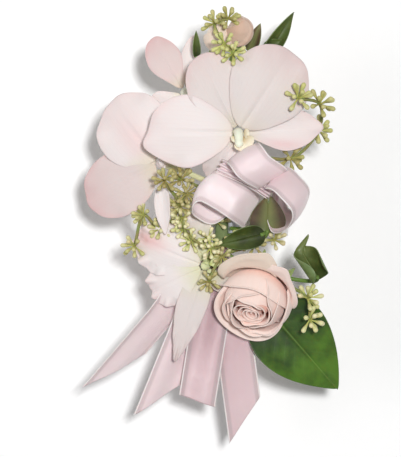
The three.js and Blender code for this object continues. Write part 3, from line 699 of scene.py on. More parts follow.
def blade(along, across, shape, seat, outline, relief=0.0):
    """A blade that leaves its seat at an angle and bends in an arc as it goes out along +X. Its half width
    follows the outline, its sides are lifted by the cup times the square of their reach, or rolled up in an
    arc each, it twists along its length, and a relief stands on it."""
    rise, bend = np.radians(shape["rise"]), np.radians(shape["bend"])
    length, width = shape["length"], shape["width"]
    slope = rise + bend * along
    side = across * outline(along) * width / 2
    lift = shape["cup"] * side * side * 2 / width + relief
    if "roll" in shape:
        left, right = np.radians(shape["roll"])
        bent = np.where(across > 0, left, right) * between(1, 0.7, along)
        arc = width / 2 / bent
        curve = across * outline(along) * bent
        side, lift = arc * np.sin(curve), arc * (1 - np.cos(curve)) + relief
    twist = np.radians(shape.get("twist", 0)) * along
    level = side * np.cos(twist) - lift * np.sin(twist)
    lift = side * np.sin(twist) + lift * np.cos(twist)
    return np.stack(
        [
            seat + length * (np.sin(slope) - np.sin(rise)) / bend - lift * np.sin(slope),
            level,
            length * (np.cos(rise) - np.cos(slope)) / bend + lift * np.cos(slope),
        ],
        -1,
    )


def tepal(shape, level, seed):
    """A petal or sepal: a blade with a shallow crease along its middle, faint lengthwise swells, a rim that
    ripples by sines of the angle round it, and a tip that may be drawn out to a point. Its blush grows
    towards the tip, the rim and any blotch that it has. Its shape's options are frill for a livelier rim,
    base for its width at the seat, drawn for a leaf's outline, point for how far its tip is drawn out and
    how far aside, tip, edge, tint and blotch for its blush, green and green_reach for its throat, and
    dull for a greyer copy of the petal finish that paints shade on some petals."""
    draw = np.random.default_rng(seed)
    along, across = blade_grid(steps=48)
    rim = np.hypot(2 * along - 1, across)
    around = np.arctan2(across, 2 * along - 1)
    phases = draw.uniform(0, 2 * np.pi, 4)
    size = shape["width"] / 30
    frill = shape.get("frill", 0)
    # How often each wave goes up and down round the rim, and its height
    waves = {5: 0.6, 9: 0.4 + 0.5 * frill, 17: 0.5 * frill}
    ripple = sum(np.sin(count * around + phase) * waves[count] for count, phase in zip(waves, phases))
    ripple = ripple * smooth(rim, 0.55, 1) * smooth(along, 0.25, 0.6) * (0.75 + 0.6 * frill) * size
    crease = -0.5 * size * np.exp(-((across / 0.07) ** 2)) * smooth(along, 0.98, 0.2)
    swell = 0.22 * size * np.sin(6 * across + phases[2]) * np.sin(3 * along + phases[3])
    base = shape.get("base", 0.5)
    outline = leaf_outline if shape.get("drawn") else lambda reach: tepal_outline(reach, base)
    points = blade(along, across, shape, tepal_seat, outline, ripple + crease + swell)
    drawn, aside = shape.get("point", (0, 0))
    points[..., 0] += drawn * smooth(along, 0.5, 1) ** 2 * np.exp(-(((across - aside) / 0.32) ** 2))
    tip, edge = shape.get("tip", 0.15), shape.get("edge", 0.12)
    blush = shape.get("tint", 0) + tip * smooth(along, 0.5, 1) + edge * smooth(rim, 0.78, 1)
    if "blotch" in shape:
        far, aside, spread, depth = shape["blotch"]
        blush = blush + depth * np.exp(-(((along - far) / spread) ** 2 + ((across - aside) / spread) ** 2))
    throat = smooth(along, shape.get("green_reach", 0.3), 0.02) * shape.get("green", 0.35)
    sheet = patch(points, along, across, blush=np.clip(blush, 0, 1), throat=throat)
    return moved(sheet, spun(shape["turn"]), (0, 0, level))


def lip(shape):
    """A lip: a cupped middle lobe with a furrow, and two small lobes that stand up beside the column."""
    lobe_share, lobe_turn = 0.46, 58
    along, across = blade_grid(steps=28)
    furrow = -0.5 * np.exp(-((across / 0.12) ** 2)) * smooth(along, 0.9, 0.2)
    middle = blade(along, across, shape, tepal_seat, tepal_outline, furrow)
    stain = smooth(along, 0.75, 0.1)
    lobes = [patch(middle, along, across, blush=stain * 0.8, throat=smooth(along, 0.35, 0) * 0.7)]
    side_shape = sized(0, shape["length"] * lobe_share, shape["width"] * lobe_share, 62, -50, 0.4)
    for side in (-1, 1):
        wing = blade(along, across, side_shape, tepal_seat, tepal_outline)
        wing = patch(wing, along, across, blush=smooth(along, 0.9, 0.2) * 0.5, throat=0.0)
        lobes.append(moved(wing, spun(lobe_turn * side)))
    return [moved(each, spun(shape["turn"]), (0, 0, lip_lift)) for each in lobes]


def column(at, facing, length, joins, bow):
    """A column on its stalk: a waxy post that bows over towards a compass angle and swells to a rounded cap,
    and a stem that thins on its way down."""
    cap_start = 0.86
    walk = stem_route(at, -facing, joins)
    travelled = np.linspace(0, 1, len(walk)) * np.linalg.norm(np.diff(walk, axis=0), axis=1).sum()
    thick = between(column_radius, pedicel_radius, smooth(travelled, 0, 2 * column_length))
    share = np.linspace(0, 1, 24)
    over = direction(bow, 10)
    rising = at - facing * fit_gap
    elbow = rising + facing * length * 0.5
    post = bezier([rising, elbow, elbow + over * length * 0.7], share)
    swell = between(column_radius, column_radius * 0.62, share**2)
    cap = 1 + 0.22 * np.exp(-(((share - cap_start) / 0.09) ** 2))
    dome = np.sqrt(np.clip(1 - np.clip((share - cap_start) / 0.14, 0, 1) ** 2, 0, 1))
    greener = smooth(np.linspace(0, 1, len(walk) + 2), 0, 0.3)[:, None]
    stalk = tube(walk, thick, sides=14, blush=0.35, throat=greener)
    return [stalk, tube(post, swell * cap * np.maximum(dome, 0.05), sides=18)]


def orchid(
    name, at, lean, towards, joins, tepals,
    lip_shape=None, column_reach=column_length, bow=-90, lip_skin=None,
):
    """An orchid about its column. Each tepal has a compass turn in the flower and its own sizes."""
    at = np.array(at, float)
    facing = direction(towards, 90 - lean)
    lean_turn = leaning(lean, towards)
    place = spray_origin + at
    post = [moved(each, at=spray_origin) for each in column(at, facing, column_reach, joins, bow)]
    piece(f"{name}_post", post, lip_skin or orchid_column, replaces=[f"{name}_column"])
    for k, (part, shape) in enumerate(tepals.items()):
        level = sepal_drop if "sepal" in part else 0
        sheet = moved(tepal(shape, level, sum(map(ord, name)) + k), lean_turn, place)
        node = f"{name}_{part}"
        # The greyer copy of the petal finish is painted shade.
        skin = dull_petal if shape.get("dull") else orchid_petal
        piece(f"{node}_skin", [sheet], skin, tepal_thickness, [node])
    if lip_shape:
        lobes = [moved(each, lean_turn, place) for each in lip(lip_shape)]
        skin = lip_skin or orchid_lip
        piece(f"{name}_lip_lobes", lobes, skin, tepal_thickness, [f"{name}_lip"])


def sized(turn, length, width, rise, bend, cup, **more):
    """A blade's sizes: its compass turn, its length and width, the angle at which it leaves its seat, how far
    it bends, how much its sides are cupped, and any of its options."""
    return {"turn": turn, "length": length, "width": width, "rise": rise, "bend": bend, "cup": cup, **more}


def orchids():
    """The four orchids, from the front one to the one at the back."""
    flat_lip = sized(20, 4.5, 4, 0, -40, 0.3)
    orchid(
        "front_orchid", at=[6.7, 34.4, 22], lean=8, towards=-60, joins=24,
        tepals={
            "left_petal": sized(
                179, 36, 31, 14, -42, -0.12, tip=0.1, edge=0.2, green=0.15, point=(4, 0.5), base=0.7
            ),
            "right_petal": sized(
                57, 39, 35, 16, -40, -0.12, tip=0.28, edge=0.1, green=0.15, dull=True, base=0.7
            ),
            "dorsal_sepal": sized(117, 34, 24, 10, -30, 0.1, tip=0.2, edge=0.2, green=0.3, dull=True),
            "right_sepal": sized(
                3, 32, 18, 2, -14, 0.15, edge=0.15, point=(2, 0), blotch=(0.5, -0.7, 0.25, 0.6)
            ),
            "lower_sepal": sized(245, 24, 16, -12, -30, 0.1),
        },
        lip_shape=sized(-62, 6, 9, 55, -60, 0.5),
    )
    orchid(
        "left_orchid", at=[-26, 21.8, 11], lean=18, towards=180, joins=12,
        tepals={
            "upper_petal": sized(
                130, 33, 33, 19, -42, -0.1, tip=0.12, blotch=(0.35, 0.1, 0.4, 0.4), base=0.95
            ),
            "lower_petal": sized(
                204, 37, 28, 10, -36, -0.1, tip=0.4, edge=0.2, tint=0.2, base=0.95, dull=True
            ),
            "dorsal_sepal": sized(168, 21, 16, 4, -20, 0.1, tip=0.3),
            "lower_sepal": sized(275, 26, 7, 12, -14, 0.4, tip=0.05, edge=0.05, green=0.3, point=(2, 0)),
            "upper_sepal": sized(62, 22, 14, -8, -16, 0.1, tip=0.2),
        },
        lip_shape=flat_lip, column_reach=1.0, bow=200, lip_skin=orchid_petal,
    )
    orchid(
        "lower_orchid", at=[-7.1, -21.4, 12], lean=16, towards=200, joins=-10,
        tepals={
            "upper_petal": sized(
                159, 32, 24, 16, -44, -0.1, tip=0.1, frill=1, blotch=(0.78, -0.1, 0.25, 0.9)
            ),
            "lower_petal": sized(206, 26, 21, 18, -46, -0.1, tip=0.15, frill=1, green=0.7, green_reach=0.5),
            "lower_sepal": sized(
                252, 41, 13, 15, -22, 0.1, frill=0.7, green=0.6, green_reach=0.4, drawn=True, dull=True
            ),
            "upper_sepal": sized(112, 21, 18, 4, -20, 0.1, tip=0.1, frill=0.6, green=0.9, green_reach=0.9),
            "right_sepal": sized(310, 13, 9, -14, -16, 0.1, tip=0.1, green=1.0, green_reach=0.9),
        },
        lip_shape=flat_lip, column_reach=1.5, bow=60, lip_skin=green_throat,
    )
    orchid(
        "back_orchid", at=[-15.5, 52, 6], lean=12, towards=130, joins=40,
        tepals={
            "left_petal": sized(122, 26, 15, 14, -30, -0.1, tip=0.35, edge=0.25, tint=0.25, dull=True),
            "top_sepal": sized(82, 23, 8, 8, -16, 0.3, tip=0.1),
            "lower_petal": sized(210, 15, 13, 6, -16, 0.1, tip=0.2),
        },
        column_reach=4.0,
    )


# Rose and buds


def rose_petal_sheet(
    turn, radius, height, spread, curl, fold,
    wind=1.0, droop=0.0, roll=1.0, warm=0.4, deep_and_shade=0.6, skew=0.0, peak=(0.0, 0.0), seed=0,
):
    """A petal that wraps the bloom's axis. It climbs from the cup to a long rim that falls at its two
    shoulders, swells to its belly, winds outwards from one side to the other, curls in or out from its fold
    on, droops, and rolls back over its wavy rim. Its curl may be stronger on one side, and its rim drawn out
    to a peak."""
    shoulder_fall, belly_rise, rim_start, peak_width = 0.42, 2.1, 0.86, 0.16
    draw = np.random.default_rng(seed)
    along, across = sheet_grid(rows=44, columns=88)
    shoulder = 1 - shoulder_fall * np.abs(across) ** 3.2
    climb = along * shoulder
    seat = hip_radius + 0.9
    belly = np.sin(np.pi / 2 * np.minimum(1, climb * belly_rise))
    phase = draw.uniform(0, 2 * np.pi, 4)
    wave = 0.55 * np.sin(2.6 * across + phase[0]) + 0.3 * np.sin(6 * across + phase[1])
    dent = 0.25 * np.sin(4 * across + phase[2]) * np.sin(5 * along + phase[3]) * smooth(along, 0.1, 0.4)
    rolled = smooth(along, rim_start, 1) ** 2
    crest = peak[1] * np.exp(-(((across - peak[0]) / peak_width) ** 2)) * smooth(along, 0.6, 1) ** 2
    bent = curl * (1 + skew * across) * smooth(climb, fold, 1.05)
    out = between(seat, radius, belly) + wind * across * belly + bent
    out = out + rolled * roll + wave * smooth(along, 0.6, 1) + dent + crest
    angle = np.radians(spread) / 2 * across * between(0.8, 1, smooth(along, 0, 0.5))
    level = between(hip_height * 0.55, height, climb) - droop * smooth(climb, 0.6, 1)
    level = level - rolled * roll * 0.5 + 0.6 * wave * smooth(along, 0.8, 1)
    points = np.stack([out * np.cos(angle), out * np.sin(angle), level], -1)
    blush = warm * (0.3 + 0.7 * smooth(along, 1.0, 0.45)) * (1 - rolled)
    # Deeper peach low in the petal: partly the rose's own colour, partly painted shade of the recesses inside
    # the bloom.
    throat = smooth(along, 0.72, 0.2) * deep_and_shade
    return moved(patch(points, along, across, blush=blush, throat=throat), spun(turn))


def rose_heart():
    """The heart: thin petals wound in an irregular spiral. Each is a strip about a centre that drifts, whose
    radius grows with its angle, is a little oval, and leans in and then rolls back at its rim."""
    draw = np.random.default_rng(8)
    strips = []
    count, golden_angle = 11, 137.5
    for k in range(count):
        share = k / (count - 1)
        along, across = sheet_grid(rows=26, columns=64)
        sweep = np.radians(golden_angle * k) + np.radians(between(170, 88, share)) * across
        drift = draw.uniform(-0.5, 0.5, 2) * between(0.4, 1.6, share)
        oval = 1 + 0.24 * np.cos(2 * (sweep - draw.uniform(-0.5, 0.5)))
        radius = between(0.7, 7.4, share**0.9) * oval
        inward = 1 - between(0.35, 0.22, share) * smooth(along, 0.45, 0.95)
        rolled = smooth(along, 0.86, 1) ** 2
        ripple = 0.3 * np.sin(between(2, 5, share) * across + draw.uniform(0, 6)) * smooth(along, 0.6, 1)
        wound = 0.55 * across * smooth(along, 0, 0.3)
        out = radius * inward + wound + between(0.25, 0.7, share) * rolled + ripple
        top = rose_height + between(-2.0, 0.2, share) + draw.uniform(-0.5, 0.5)
        notch = between(0.8, 2.6, share) * smooth(np.abs(across), 0.45, 1) ** 2
        level = between(hip_height + 0.6, top, along) - notch * along - 0.4 * rolled + ripple
        points = np.stack([drift[0] + out * np.cos(sweep), drift[1] + out * np.sin(sweep), level], -1)
        blush = 0.85 - 0.55 * smooth(along, 0.86, 0.98)
        # Deeper peach low in the heart's petals: partly the rose's own colour, partly painted shade deep in
        # the bloom.
        throat = smooth(along, 0.97, 0.7) * between(0.8, 0.55, share)
        strips.append(patch(points, along, across, blush=blush, throat=throat))
    return strips


def rose():
    """The rose: its heart, inner, middle and outer petals, and its cup with five sepals on its stem."""
    at = np.array([18.3, -28, 5.0])
    lean, towards, joins = 40, -116, -16
    facing = direction(towards, 90 - lean)
    turn, place = leaning(lean, towards), spray_origin + at
    dome_height, guard_height = rose_height - 2.5, rose_height - 8

    def grow(name, patches, nodes=(), skin=rose_petal):
        """A piece of petals, set in the leaning bloom."""
        patches = [moved(each, turn, place) for each in patches]
        piece(name, patches, skin, rose_petal_thickness, nodes)

    grow("rose_heart", rose_heart(), ["rose_core"])
    inner = (
        {"turn": 75, "wind": 0.8, "curl": -6.4},
        {"turn": 195, "wind": 0.8, "curl": -4.0},
        {"turn": 315, "wind": 1.8, "curl": -4.2},
    )
    for k, sizes in enumerate(inner):
        sheet = rose_petal_sheet(
            radius=11, height=rose_height, spread=165, fold=0.62, roll=0.8, seed=11 + k, **sizes
        )
        grow(f"rose_inner_{k + 1}", [sheet], [f"rose_inner_petal_{k + 1}"])
    middle = (
        {"turn": 12, "radius": 12.4, "height": 23.8, "curl": -4.2, "spread": 110},
        {"turn": 118, "radius": 12.6, "height": 23.8, "curl": -4.2, "spread": 150},
        {"turn": 236, "radius": 12.4, "height": 23.4, "curl": -2.6, "spread": 150},
        {"turn": 178, "radius": 12.8, "height": 23.0, "curl": -2.2, "spread": 110},
        {"turn": 280, "radius": 12.6, "height": 22.6, "curl": -1.6, "spread": 110},
    )
    for k, sizes in enumerate(middle):
        sheet = rose_petal_sheet(fold=0.6, wind=0.6, warm=0.3, seed=51 + k, **sizes)
        grow(f"rose_middle_{k + 1}", [sheet])
    outer = (
        rose_petal_sheet(
            turn=72, radius=rose_radius - 2.8, height=dome_height, spread=170, curl=-3.2, fold=0.6,
            wind=0.7, roll=1.2, warm=0.3, seed=31,
        ),
        rose_petal_sheet(
            turn=318, radius=rose_radius - 2.6, height=dome_height, spread=135, curl=-2.8, fold=0.6,
            wind=0.9, roll=1.2, warm=0.3, seed=32,
        ),
        rose_petal_sheet(
            turn=220, radius=rose_radius - 4.0, height=rose_height - 5, spread=180, curl=3.2, fold=0.35,
            roll=1.2, warm=0.2, deep_and_shade=0.1, skew=0.5, seed=33,
        ),
        rose_petal_sheet(
            turn=30, radius=rose_radius - 2.2, height=guard_height, spread=96, curl=3.4, fold=0.45,
            droop=1.5, roll=1.8, warm=0.1, deep_and_shade=0.1, skew=0.5, peak=(0.45, 2.0), seed=34,
        ),
        rose_petal_sheet(
            turn=102, radius=rose_radius - 1.9, height=guard_height, spread=100, curl=6.4, fold=0.45,
            droop=2.5, roll=2.0, warm=0.1, deep_and_shade=0.1, skew=-0.3, peak=(-0.55, 2.0), seed=35,
        ),
    )
    for k, sheet in enumerate(outer):
        skin = rose_guard if sheet is outer[-1] else rose_petal
        grow(f"rose_outer_{k + 1}", [sheet], [f"rose_outer_petal_{k + 1}"], skin)
    share = np.linspace(0, 1, 20)
    profile = np.interp(share, [0, 0.3, 0.6, 0.9, 1], [rose_stem_radius, 3.8, hip_radius, 3.2, 2.6])
    hip = turned([0, *profile, 0], [0, *(share * hip_height), hip_height], sides=28)
    rooted = at + facing * hip_height * 0.3
    stem = tube(stem_route(rooted, -facing, joins), rose_stem_radius)
    green = [moved(hip, turn, place), moved(stem, at=spray_origin)]
    piece("rose_cup", green, calyx_green, replaces=["rose_calyx"])
    along, across = blade_grid(steps=20)
    sepal_count, sepal_seat, sepal_thickness = 5, 3.6, 0.35
    sepals = []
    for k in range(sepal_count):
        leafy = sized(360 / sepal_count * k + 20, 13, 4.5, -18, -50, 0.5)
        strip = patch(blade(along, across, leafy, sepal_seat, leaf_outline), along, across, blush=0.25)
        sepals.append(moved(moved(strip, spun(leafy["turn"]), (0, 0, hip_height * 0.45)), turn, place))
    piece("rose_sepals", sepals, calyx_green, sepal_thickness)


def bud(name, at, lean, towards, joins, pink, skin, full=1.0):
    """A bud: petals lapped in a spiral, each edge a step down to the next, closed at the top. A full one is
    wider than its solid."""
    laps, lap_depth, lap_wind = 3, 0.13, 0.9
    at = np.array(at, float)
    facing = direction(towards, 90 - lean)
    turn, place = leaning(lean, towards), spray_origin + at
    share = np.linspace(0, 1, 64)
    profile = np.interp(share, [0, 0.06, 0.25, 0.5, 0.75, 0.9, 1], [0.55, 0.72, 0.95, 1, 0.82, 0.5, 0])
    profile = np.convolve(np.pad(profile, 3, "edge"), np.ones(7) / 7, "valid")
    profile[-1] = 0
    angle = np.linspace(0, 2 * np.pi, 73)
    wound = laps * angle[None] / (2 * np.pi) - lap_wind * share[:, None]
    lap = wound - np.floor(wound)
    step = 1 - lap_depth * smooth(lap, 0, 0.85) + lap_depth * smooth(lap, 0.9, 1) - 0.02
    radius = bud_radius * 0.98 * between(1, full, smooth(share, 0, 0.4))[:, None] * profile[:, None] * step
    height = fit_gap + share[:, None] * (bud_length - fit_gap)
    points = np.stack(np.broadcast_arrays(radius * np.cos(angle), radius * np.sin(angle), height), -1)
    shade = pink * (0.5 + 0.5 * smooth(lap, 0.9, 0.1))
    foot = smooth(share, 0.25, 0)[:, None] * 0.3
    body = patch(points, share[:, None], np.linspace(-1, 1, len(angle))[None], blush=shade, throat=foot)
    closed = turned([0, profile[0] * bud_radius * 0.9], [fit_gap, fit_gap], sides=72)
    petals = [moved(body, turn, place), moved(closed, turn, place)]
    piece(f"{name}_petals", petals, skin, replaces=[name])
    cup_height = bud_length * 0.28
    cup = turned(
        [0, bud_stem_radius, bud_radius * 0.5, bud_radius * 0.64, bud_radius * 0.66, 0],
        [-cup_height, -cup_height, -cup_height * 0.6, -cup_height * 0.3, 0, 0],
        sides=28,
    )
    rooted = at - facing * cup_height * 0.8
    stalk = tube(stem_route(rooted, -facing, joins), bud_stem_radius)
    green = [moved(cup, turn, place), moved(stalk, at=spray_origin)]
    piece(f"{name}_cup", green, calyx_green, replaces=[f"{name}_calyx"])


# Leaves


def leaf(name, at, joins, shape, upper=glossy_leaf, drop=0.0):
    """A leaf on its stalk: a blade folded a little along its midrib, that swells by a sine between its side
    veins and waves along its rim. Its tip may be drawn out."""
    vein_pairs, vein_slant = 9, 0.28
    at = np.array(at, float)
    along, across = blade_grid(steps=56)
    rim = np.hypot(2 * along - 1, across)
    size = shape["width"] / 30
    fold = -0.9 * size * np.exp(-np.abs(across) / 0.05) * smooth(along, 1, 0.5)
    veined = np.sin(2 * np.pi * vein_pairs * (along - vein_slant * np.abs(across)))
    quilt = 0.03 * size * veined * smooth(np.abs(across), 0.02, 0.4)
    wave = 0.8 * size * np.sin(7 * along + 2 * np.sign(across)) * smooth(rim, 0.6, 1)
    points = blade(along, across, shape, 0, leaf_outline, fold + quilt * smooth(rim, 1, 0.7) + wave)
    drawn = smooth(along, 0.7, 1) ** 2 * np.exp(-((across / 0.2) ** 2))
    points = points + drawn[..., None] * np.array(shape.get("tip", (0, 0, 0)))
    sheet = patch(points, along, across)
    heading = direction(shape["turn"], shape["rise"])
    stalk_start = at + heading * shape["length"] * 0.1
    walk = stem_route(stalk_start, unit(-heading - [0, 0, drop]), joins)
    sheet = moved(sheet, spun(shape["turn"]), spray_origin + at)
    solids = [name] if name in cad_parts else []
    piece(f"{name}_blade", [sheet], upper, leaf_thickness, solids, under_leaf)
    stalk = moved(tube(walk, petiole_radius, blush=0.6), at=spray_origin)
    piece(f"{name}_stalk", [stalk], glossy_leaf)


def leaves():
    """The leaves by the rose and the bow, and the small ones by the buds."""
    leaf("large_leaf", [17, -37, 4], -19, sized(-49, 51, 33, -4, -16, 0.2))
    rolled = sized(121, 17, 21, 10, -30, 0, roll=(200, 130), tip=(2.1, -6.1, 1.3))
    leaf("curled_leaf", [41, -27.5, 9], -21, rolled, upper=olive_leaf, drop=1.5)
    leaf("bow_leaf", [18, -8, 15], -5, sized(193, 20, 9.5, 14, -30, 0.5), upper=shaded_leaf)
    round_leaf = sized(88, 17, 15, 8, 10, 0.2, tip=(-3.5, 0, 0))
    # The loop leaf fills the mouth of the right loop; its dark brown is painted shade there, over a real
    # leaf.
    leaf("loop_leaf", [19, -8, 13], -8, round_leaf, upper=withered_and_shade_leaf)
    leaf("top_leaf", [18, 66, 6], 44, sized(58, 24, 6.8, 6, -20, 0.7, twist=25), upper=shaded_leaf)
    leaf("bud_blade", [-10.5, 66, 10], 46, sized(92, 12, 3.2, 20, -12, 0.5), upper=shaded_leaf)
    leaf("bud_tip", [11.5, 69, 8], 47, sized(68, 13, 5.5, 16, -14, 0.5), upper=withered_and_shade_leaf)
    leaf("top_round", [18, 69, 6], 45, sized(30, 10, 7, 12, -20, 0.4), upper=shaded_leaf)


# Seeded eucalyptus


def seed_patch(turn, at, length, radius, ripe, tone):
    """A seed: a thin stalk that swells to a club with a blunt, lipped end."""
    share = np.array([0, 0, 0.15, 0.35, 0.5, 0.64, 0.76, 0.86, 0.93, 0.97, 1, 1])
    girth = np.array([0, 0.34, 0.3, 0.36, 0.55, 0.8, 0.97, 1.0, 0.86, 0.62, 0.28, 0])
    pale = (ripe * smooth(share, 0.3, 0.9))[:, None]
    body = turned(girth * radius, share * length, sides=10, blush=pale, throat=tone)
    return moved(body, turn, at)


def umbel(at, turn, lift, tone, ripe, size, draw):
    """Seeds that stand out from the end of a twig: one on top, a ring of five round it and a lower ring of
    five between those."""
    upper_tilt, lower_tilt = 48, 84
    stand = standing(direction(turn, lift))
    at = np.array(at, float)
    reach = (seed_stalk + seed_length) * size
    start = draw.uniform(0, 360)
    upper = [(start + 72 * k, upper_tilt) for k in range(5)]
    lower = [(start + 36 + 72 * k, lower_tilt) for k in range(5)]
    seeds = []
    for compass, tilt in [(start, 0), *upper, *lower]:
        aim = direction(compass + draw.uniform(-9, 9), 90 - tilt + draw.uniform(-8, 8))
        length = reach * draw.uniform(0.82, 1.0)
        paler, browner = ripe * draw.uniform(0.4, 1.2), tone * draw.uniform(0.6, 1.2)
        seeds.append(seed_patch(standing(stand @ aim), at, length, seed_radius * size, paler, browner))
    return seeds


def sprig(name, joins, umbels, seed, ripe=0.4, size=1.0):
    """A sprig: one twig that climbs from the taped stem through its umbels. An umbel has a place, a compass
    turn, a lift and a tone from lime to olive brown."""
    draw = np.random.default_rng(seed)
    stops = [np.array([0, joins, 0.0]), *[np.array(at, float) for at, turn, lift, tone in umbels]]
    walk = route(stops, steps=12)
    seeds = []
    for at, turn, lift, tone in umbels:
        seeds += umbel(at, turn, lift, tone, ripe, size, draw)
    seeds = [moved(each, at=spray_origin) for each in seeds]
    solids = [name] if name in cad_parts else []
    piece(f"{name}_seeds", seeds, seed_green, replaces=solids)
    piece(f"{name}_twig", [moved(tube(walk, twig_radius, sides=8), at=spray_origin)], twig_brown)


def sprigs():
    """The sprigs, from the top of the spray to the rose, each with its umbels' places, turns, lifts and
    tones."""
    top = [
        ([4.5, 67, 25], -20, 70, 0),
        ([1, 71, 24], 170, 70, 0),
        ([-3, 80, 19], 120, 45, 0.4),
        ([2.5, 82, 19], 60, 45, 0.5),
    ]
    sprig("top_sprig", 50, top, seed=1, size=0.9)
    upper_right = [
        ([29, 24, 9], -30, 50, 0.6),
        ([41, 36, 4], 0, 0, 0.3),
        ([41, 46.5, 15], 30, 40, 0.4),
        ([31.5, 48.5, 25], 60, 60, 0.2),
    ]
    sprig("upper_right_sprig", 30, upper_right, seed=2)
    left = [
        ([-17, 15, 16], 90, 65, 0.8),
        ([-24, 14.5, 20], 90, 80, 0.8),
        ([-18, 4, 12], 60, 65, 0.6),
        ([-26, -6, 7], 200, 45, 0.2),
        ([-33, 0, 7], 175, 20, 0.3),
        ([-37, -13, 4], 215, 30, 0.3),
    ]
    sprig("left_sprig", 6, left, seed=3, ripe=0.7, size=0.9)
    centre = [
        ([-2, -3, 4], 60, 30, 0.2),
        ([-11, -2, 3], 200, 30, 0.5),
        ([-16, -6, 12], 200, 60, 0),
        ([-5, -14, 15], -40, 60, 0),
        ([6, -11, 9], 60, 60, 0.4),
        ([22, -10.5, 11], 40, 55, 0.5),
    ]
    sprig("centre_sprig", -4, centre, seed=4, ripe=0.95, size=0.85)
    filler = [
        ([-15, 9, 15], 90, 75, 0.8),
        ([-17.5, 3, 11], 160, 60, 0.6),
        ([-17, -1.5, 13], 190, 65, 0.1),
        ([-13, -11, 13], 200, 70, 0),
        ([-6, -10, 13], 240, 70, 0),
    ]
    sprig("filler_sprig", -2, filler, seed=6, ripe=0.95, size=0.8)
    rose_side = [
        ([-5.5, -28, 14], 240, 70, 0.7),
        ([0, -17.5, 14], 90, 75, 0.5),
        ([14, -13, 9], 60, 60, 0.7),
    ]
    sprig("rose_sprig", -12, rose_side, seed=7, ripe=0.8, size=0.8)
    right = [
        ([36, -35, 12], 40, 30, 0),
        ([37, -44, 12], -20, 35, 0),
    ]
    sprig("right_sprig", -20, right, seed=5, ripe=0.7)


# Bow and tails

pleats = 3
bow_at = np.array([19.5, 13.5, 13.0])
tie_at = np.array([0, -13, stem_radius + fit_gap + 0.25])


def gathered(points, half, across):
    """Folds a ribbon into pleats where it is narrower than it was woven. A pleat is a wave across the ribbon,
    whose depth makes the way over it as long as the ribbon is wide. Pleats fade out near the full width."""
    faded = smooth(half, 0.47 * ribbon_width, 0.4 * ribbon_width)
    slack = np.maximum(ribbon_width**2 - (2 * half) ** 2, 0) * faded
    depth = np.sqrt(slack) / (4 * pleats)
    return points + normals_of(points) * (depth * np.sin(np.pi * pleats * across))[..., None]


def ribbon(name, points, across, length, deep_and_shade=0.0):
    """A ribbon as a sheet of its woven width. Its UV counts ribbon widths along it."""
    steps = np.linspace(0, length / ribbon_width, points.shape[0])[:, None]
    # The mark given here is painted shade: a deeper pink where the ribbon lies in shade.
    sheet = patch(points + spray_origin, steps, across, blush=deep_and_shade)
    solids = [name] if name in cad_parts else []
    made = piece(f"{name}_satin", [sheet], satin_ribbon, ribbon_thickness, solids)


def walked(points):
    """The length of a ribbon along its middle."""
    middle = points[:, points.shape[1] // 2]
    return float(np.linalg.norm(np.diff(middle, axis=0), axis=1).sum())


def bow_loop(
    name, turn, lift, roll, length, height, full, start, top_width,
    sway=0.0, dive=0.0, deep_and_shade=0.0, late=0.45, arch=0.0, under=0.0,
):
    """A loop that leaves the top of the bow, rounds at its far end and comes back under itself to the knot:
    outward by a power of the sine of half a turn, up and down by the sine of a whole one, aside as it opens,
    and from its start to the knot along its way. It is gathered to one width on top and to the tie under it,
    and may dive where it starts. An arch curls its edges inwards, and draws them in so that the ribbon keeps
    its width. Its lower run may lie further aside."""
    along, across = sheet_grid(rows=120, columns=40)
    outward = direction(turn, lift)
    level = direction(turn + 90, 0)
    up = np.cross(outward, level)
    width = level * np.cos(np.radians(roll)) + up * np.sin(np.radians(roll))
    rise = np.cross(outward, width)
    knot_side = bow_at + outward * (knot_radius + fit_gap)
    root = between(bow_at + start, knot_side, smooth(along, late, 1)[..., None])
    root[..., 2] -= dive * smooth(along, 0.16, 0)
    half_turn = np.pi * along
    opened = np.maximum(np.sin(half_turn), 0)
    tie = np.where(along < 0.5, top_width, gather_width)
    half = between(tie, ribbon_width, smooth(opened, 0, 0.45)) / 2
    puffed = arch * smooth(opened, 0.1, 0.6)
    half = half * (1 - (puffed / half) ** 2 * 2 / 3)
    reach = length * opened ** (1 + full)
    swell = height / 2 * np.sin(2 * half_turn) + 1.1 * np.cos(half_turn)
    aside = sway * smooth(opened, 0, 0.8) + under * smooth(along, 0.35, 0.68) * smooth(along, 1, 0.75)
    points = (
        root
        + reach[..., None] * outward
        + aside[..., None] * level
        + swell[..., None] * rise
        + (half * across)[..., None] * width
    )
    run = walked(points)
    points = points - normals_of(points) * (puffed * across**2)[..., None]
    ribbon(name, gathered(points, half, across), across, run, deep_and_shade=deep_and_shade)


